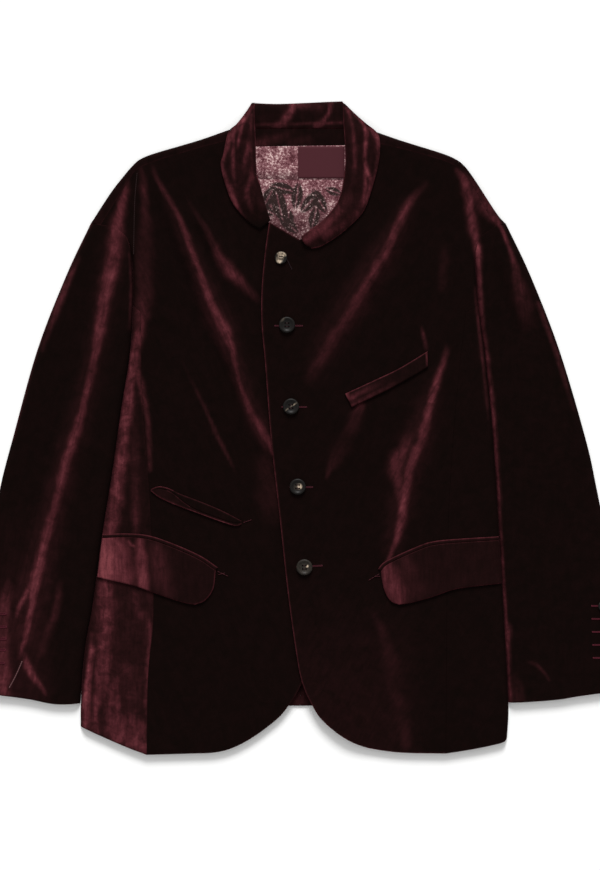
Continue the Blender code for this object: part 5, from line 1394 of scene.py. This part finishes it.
# Pale parts of each front button, partly horn and partly painted highlights: middle x, middle y, reach along,
# reach across, heading, strength
PALE_HORN_AND_HIGHLIGHTS = [
    [(0.12, 0.52, 0.55, 0.32, -10, 1.0), (-0.3, -0.58, 0.4, 0.32, 30, 1.0), (-0.15, 0, 0.55, 0.45, 60, 0.5)],
    [(-0.5, 0.6, 0.3, 0.12, 45, 0.10)],
    [(0.35, 0.22, 0.36, 0.07, 33, 0.55), (-0.4, -0.30, 0.34, 0.06, 33, 0.25)],
    [(0.24, 0.03, 0.24, 0.28, 0, 1.0), (-0.1, 0.0, 0.3, 0.3, 60, 0.10)],
    [(0.36, 0.12, 0.16, 0.12, 30, 1.0), (0.0, 0.0, 1.0, 1.0, 0, 0.035)],
]
PALE_EDGE = 1.6  # a pale part ends at this many times its reach
BUTTON_THREAD = (0.018, 0.007, 0.008)
THREAD_SHIFT, THREAD_HALF = 0.35, 0.04  # shares of a hole's radius and of the button's


def make_horn():
    """Polished horn, dark with pale growth streaks where the piece's own mask of pale horn and painted
    highlights allows them.
    """
    material, tree, shader = new_material("horn")
    inputs = {"Vector": own_place(tree), "Rotation": GROWTH_TURN, "Scale": GROWTH_STRETCH}
    drawn = add_node(tree, "Mapping", inputs).outputs["Vector"]
    streak = between(tree, noise(tree, drawn, *GROWTH), *GROWTH_RANGE)
    amount = calc(tree, "MULTIPLY", own_value(tree, "pale_and_highlight"), streak)
    colour = ramped(tree, amount, [(0.0, HORN_DARK), (1.0, HORN_PALE_AND_HIGHLIGHT)])
    set_inputs(tree, shader, {"Base Color": colour, "Roughness": HORN_ROUGHNESS,
                              "Specular IOR Level": HORN_SPECULAR})
    return material


def turn_horn(name, radius):
    """The horn of a button: turned, drilled with four holes and cleaned."""
    bm = bmesh.new()
    ring = [bm.verts.new((out * radius, 0, up * radius)) for out, up in BUTTON_PROFILE]
    edges = [bm.edges.new(pair) for pair in zip(ring, ring[1:])]
    bmesh.ops.spin(bm, geom=ring + edges, cent=(0, 0, 0), axis=(0, 0, 1), angle=2 * math.pi,
                   steps=BUTTON_SIDES, use_merge=True)
    bmesh.ops.remove_doubles(bm, verts=bm.verts, dist=WELD)
    bmesh.ops.recalc_face_normals(bm, faces=bm.faces)
    blank = new_object("blank", new_mesh("blank", bm, horn))
    bm = bmesh.new()
    out, hole = HOLE_AT * radius, HOLE_RADIUS * radius
    for spot in ((-out, -out, 0), (-out, out, 0), (out, -out, 0), (out, out, 0)):
        bmesh.ops.create_cone(bm, cap_ends=True, segments=HOLE_SIDES, radius1=hole, radius2=hole,
                              depth=2 * radius, matrix=Matrix.Translation(spot))
    drill = new_object("drill", new_mesh("drill", bm, horn))
    cut = blank.modifiers.new("Drilled", "BOOLEAN")
    cut.object = drill
    cut.operation = "DIFFERENCE"
    cut.solver = "EXACT"
    drilled = bpy.data.meshes.new_from_object(blank.evaluated_get(bpy.context.evaluated_depsgraph_get()))
    for tool in (blank, drill):
        bpy.data.objects.remove(tool)
    bm = bmesh.new()
    bm.from_mesh(drilled)
    bmesh.ops.remove_doubles(bm, verts=bm.verts, dist=SLIVER)
    bmesh.ops.dissolve_degenerate(bm, dist=SLIVER, edges=bm.edges)
    return new_mesh(name, bm, horn)


def turn_button(name, node, x, y, radius, height, pale_horn_and_highlights):
    """A horn button and its thread, seated on the highest cloth under it."""
    around, out = np.meshgrid(np.linspace(0, 2 * math.pi, SEAT_STEPS), radius * np.array(SEAT_RINGS))
    seat = float(height(x + out * np.cos(around), y + out * np.sin(around)).max()) + SEAM
    mesh = turn_horn(name, radius)
    points = np.empty(3 * len(mesh.vertices), np.float32)
    mesh.vertices.foreach_get("co", points)
    points = points.reshape(-1, 3) / radius
    pale_and_highlight = np.zeros(len(points))
    for part_x, part_y, reach, width, heading, strength in pale_horn_and_highlights:
        along, across = heading_from(part_x, part_y, heading, points[:, 0], points[:, 1])
        pale_and_highlight = np.maximum(pale_and_highlight, strength * ease(PALE_EDGE - np.hypot(along / reach, across / width)))
    mesh.attributes.new("pale_and_highlight", "FLOAT", "POINT").data.foreach_set("value", pale_and_highlight.astype(np.float32))
    mesh.transform(Matrix.Translation((x, y, seat)))
    mesh.shade_smooth()
    mesh.set_sharp_from_angle(angle=SHARP)
    piece = new_object(name, mesh)
    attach(piece, "root")
    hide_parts(node)
    level = seat + BUTTON_PROFILE[0][1] * radius
    bm = bmesh.new()
    for way in (-1, 1):
        for shift in (-THREAD_SHIFT, THREAD_SHIFT):
            row = y + (way * HOLE_AT + shift * HOLE_RADIUS) * radius
            ends = [(x - HOLE_AT * radius, row, level), (x + HOLE_AT * radius, row, level)]
            add_stitch(bm, *ends, THREAD_HALF * radius)
    finish_thread(name + "_thread", bm, button_thread)


horn = make_horn()
button_thread = make_silk("button_thread", BUTTON_THREAD)
for number, ((x, y, radius), pale_horn_and_highlights) in enumerate(zip(FRONT_BUTTONS, PALE_HORN_AND_HIGHLIGHTS), 1):
    turn_button(f"horn_button_{number}", f"front_button_{number}", x, y, radius, lap_height, pale_horn_and_highlights)
for hand, (first, last), height in (("right", RIGHT_CUFF_LINE, right_sleeve_height),
                                    ("left", LEFT_CUFF_LINE, left_sleeve_height)):
    for number, share in enumerate(np.linspace(0, 1, CUFF_BUTTONS), 1):
        x, y = (1 - share) * np.array(first) + share * np.array(last)
        node = f"cuff_button_{hand}_{number}"
        pale_horn_and_highlights = PALE_HORN_AND_HIGHLIGHTS[number % len(PALE_HORN_AND_HIGHLIGHTS)]
        turn_button("horn_" + node, node, x, y, CUFF_BUTTON_RADIUS, height, pale_horn_and_highlights)
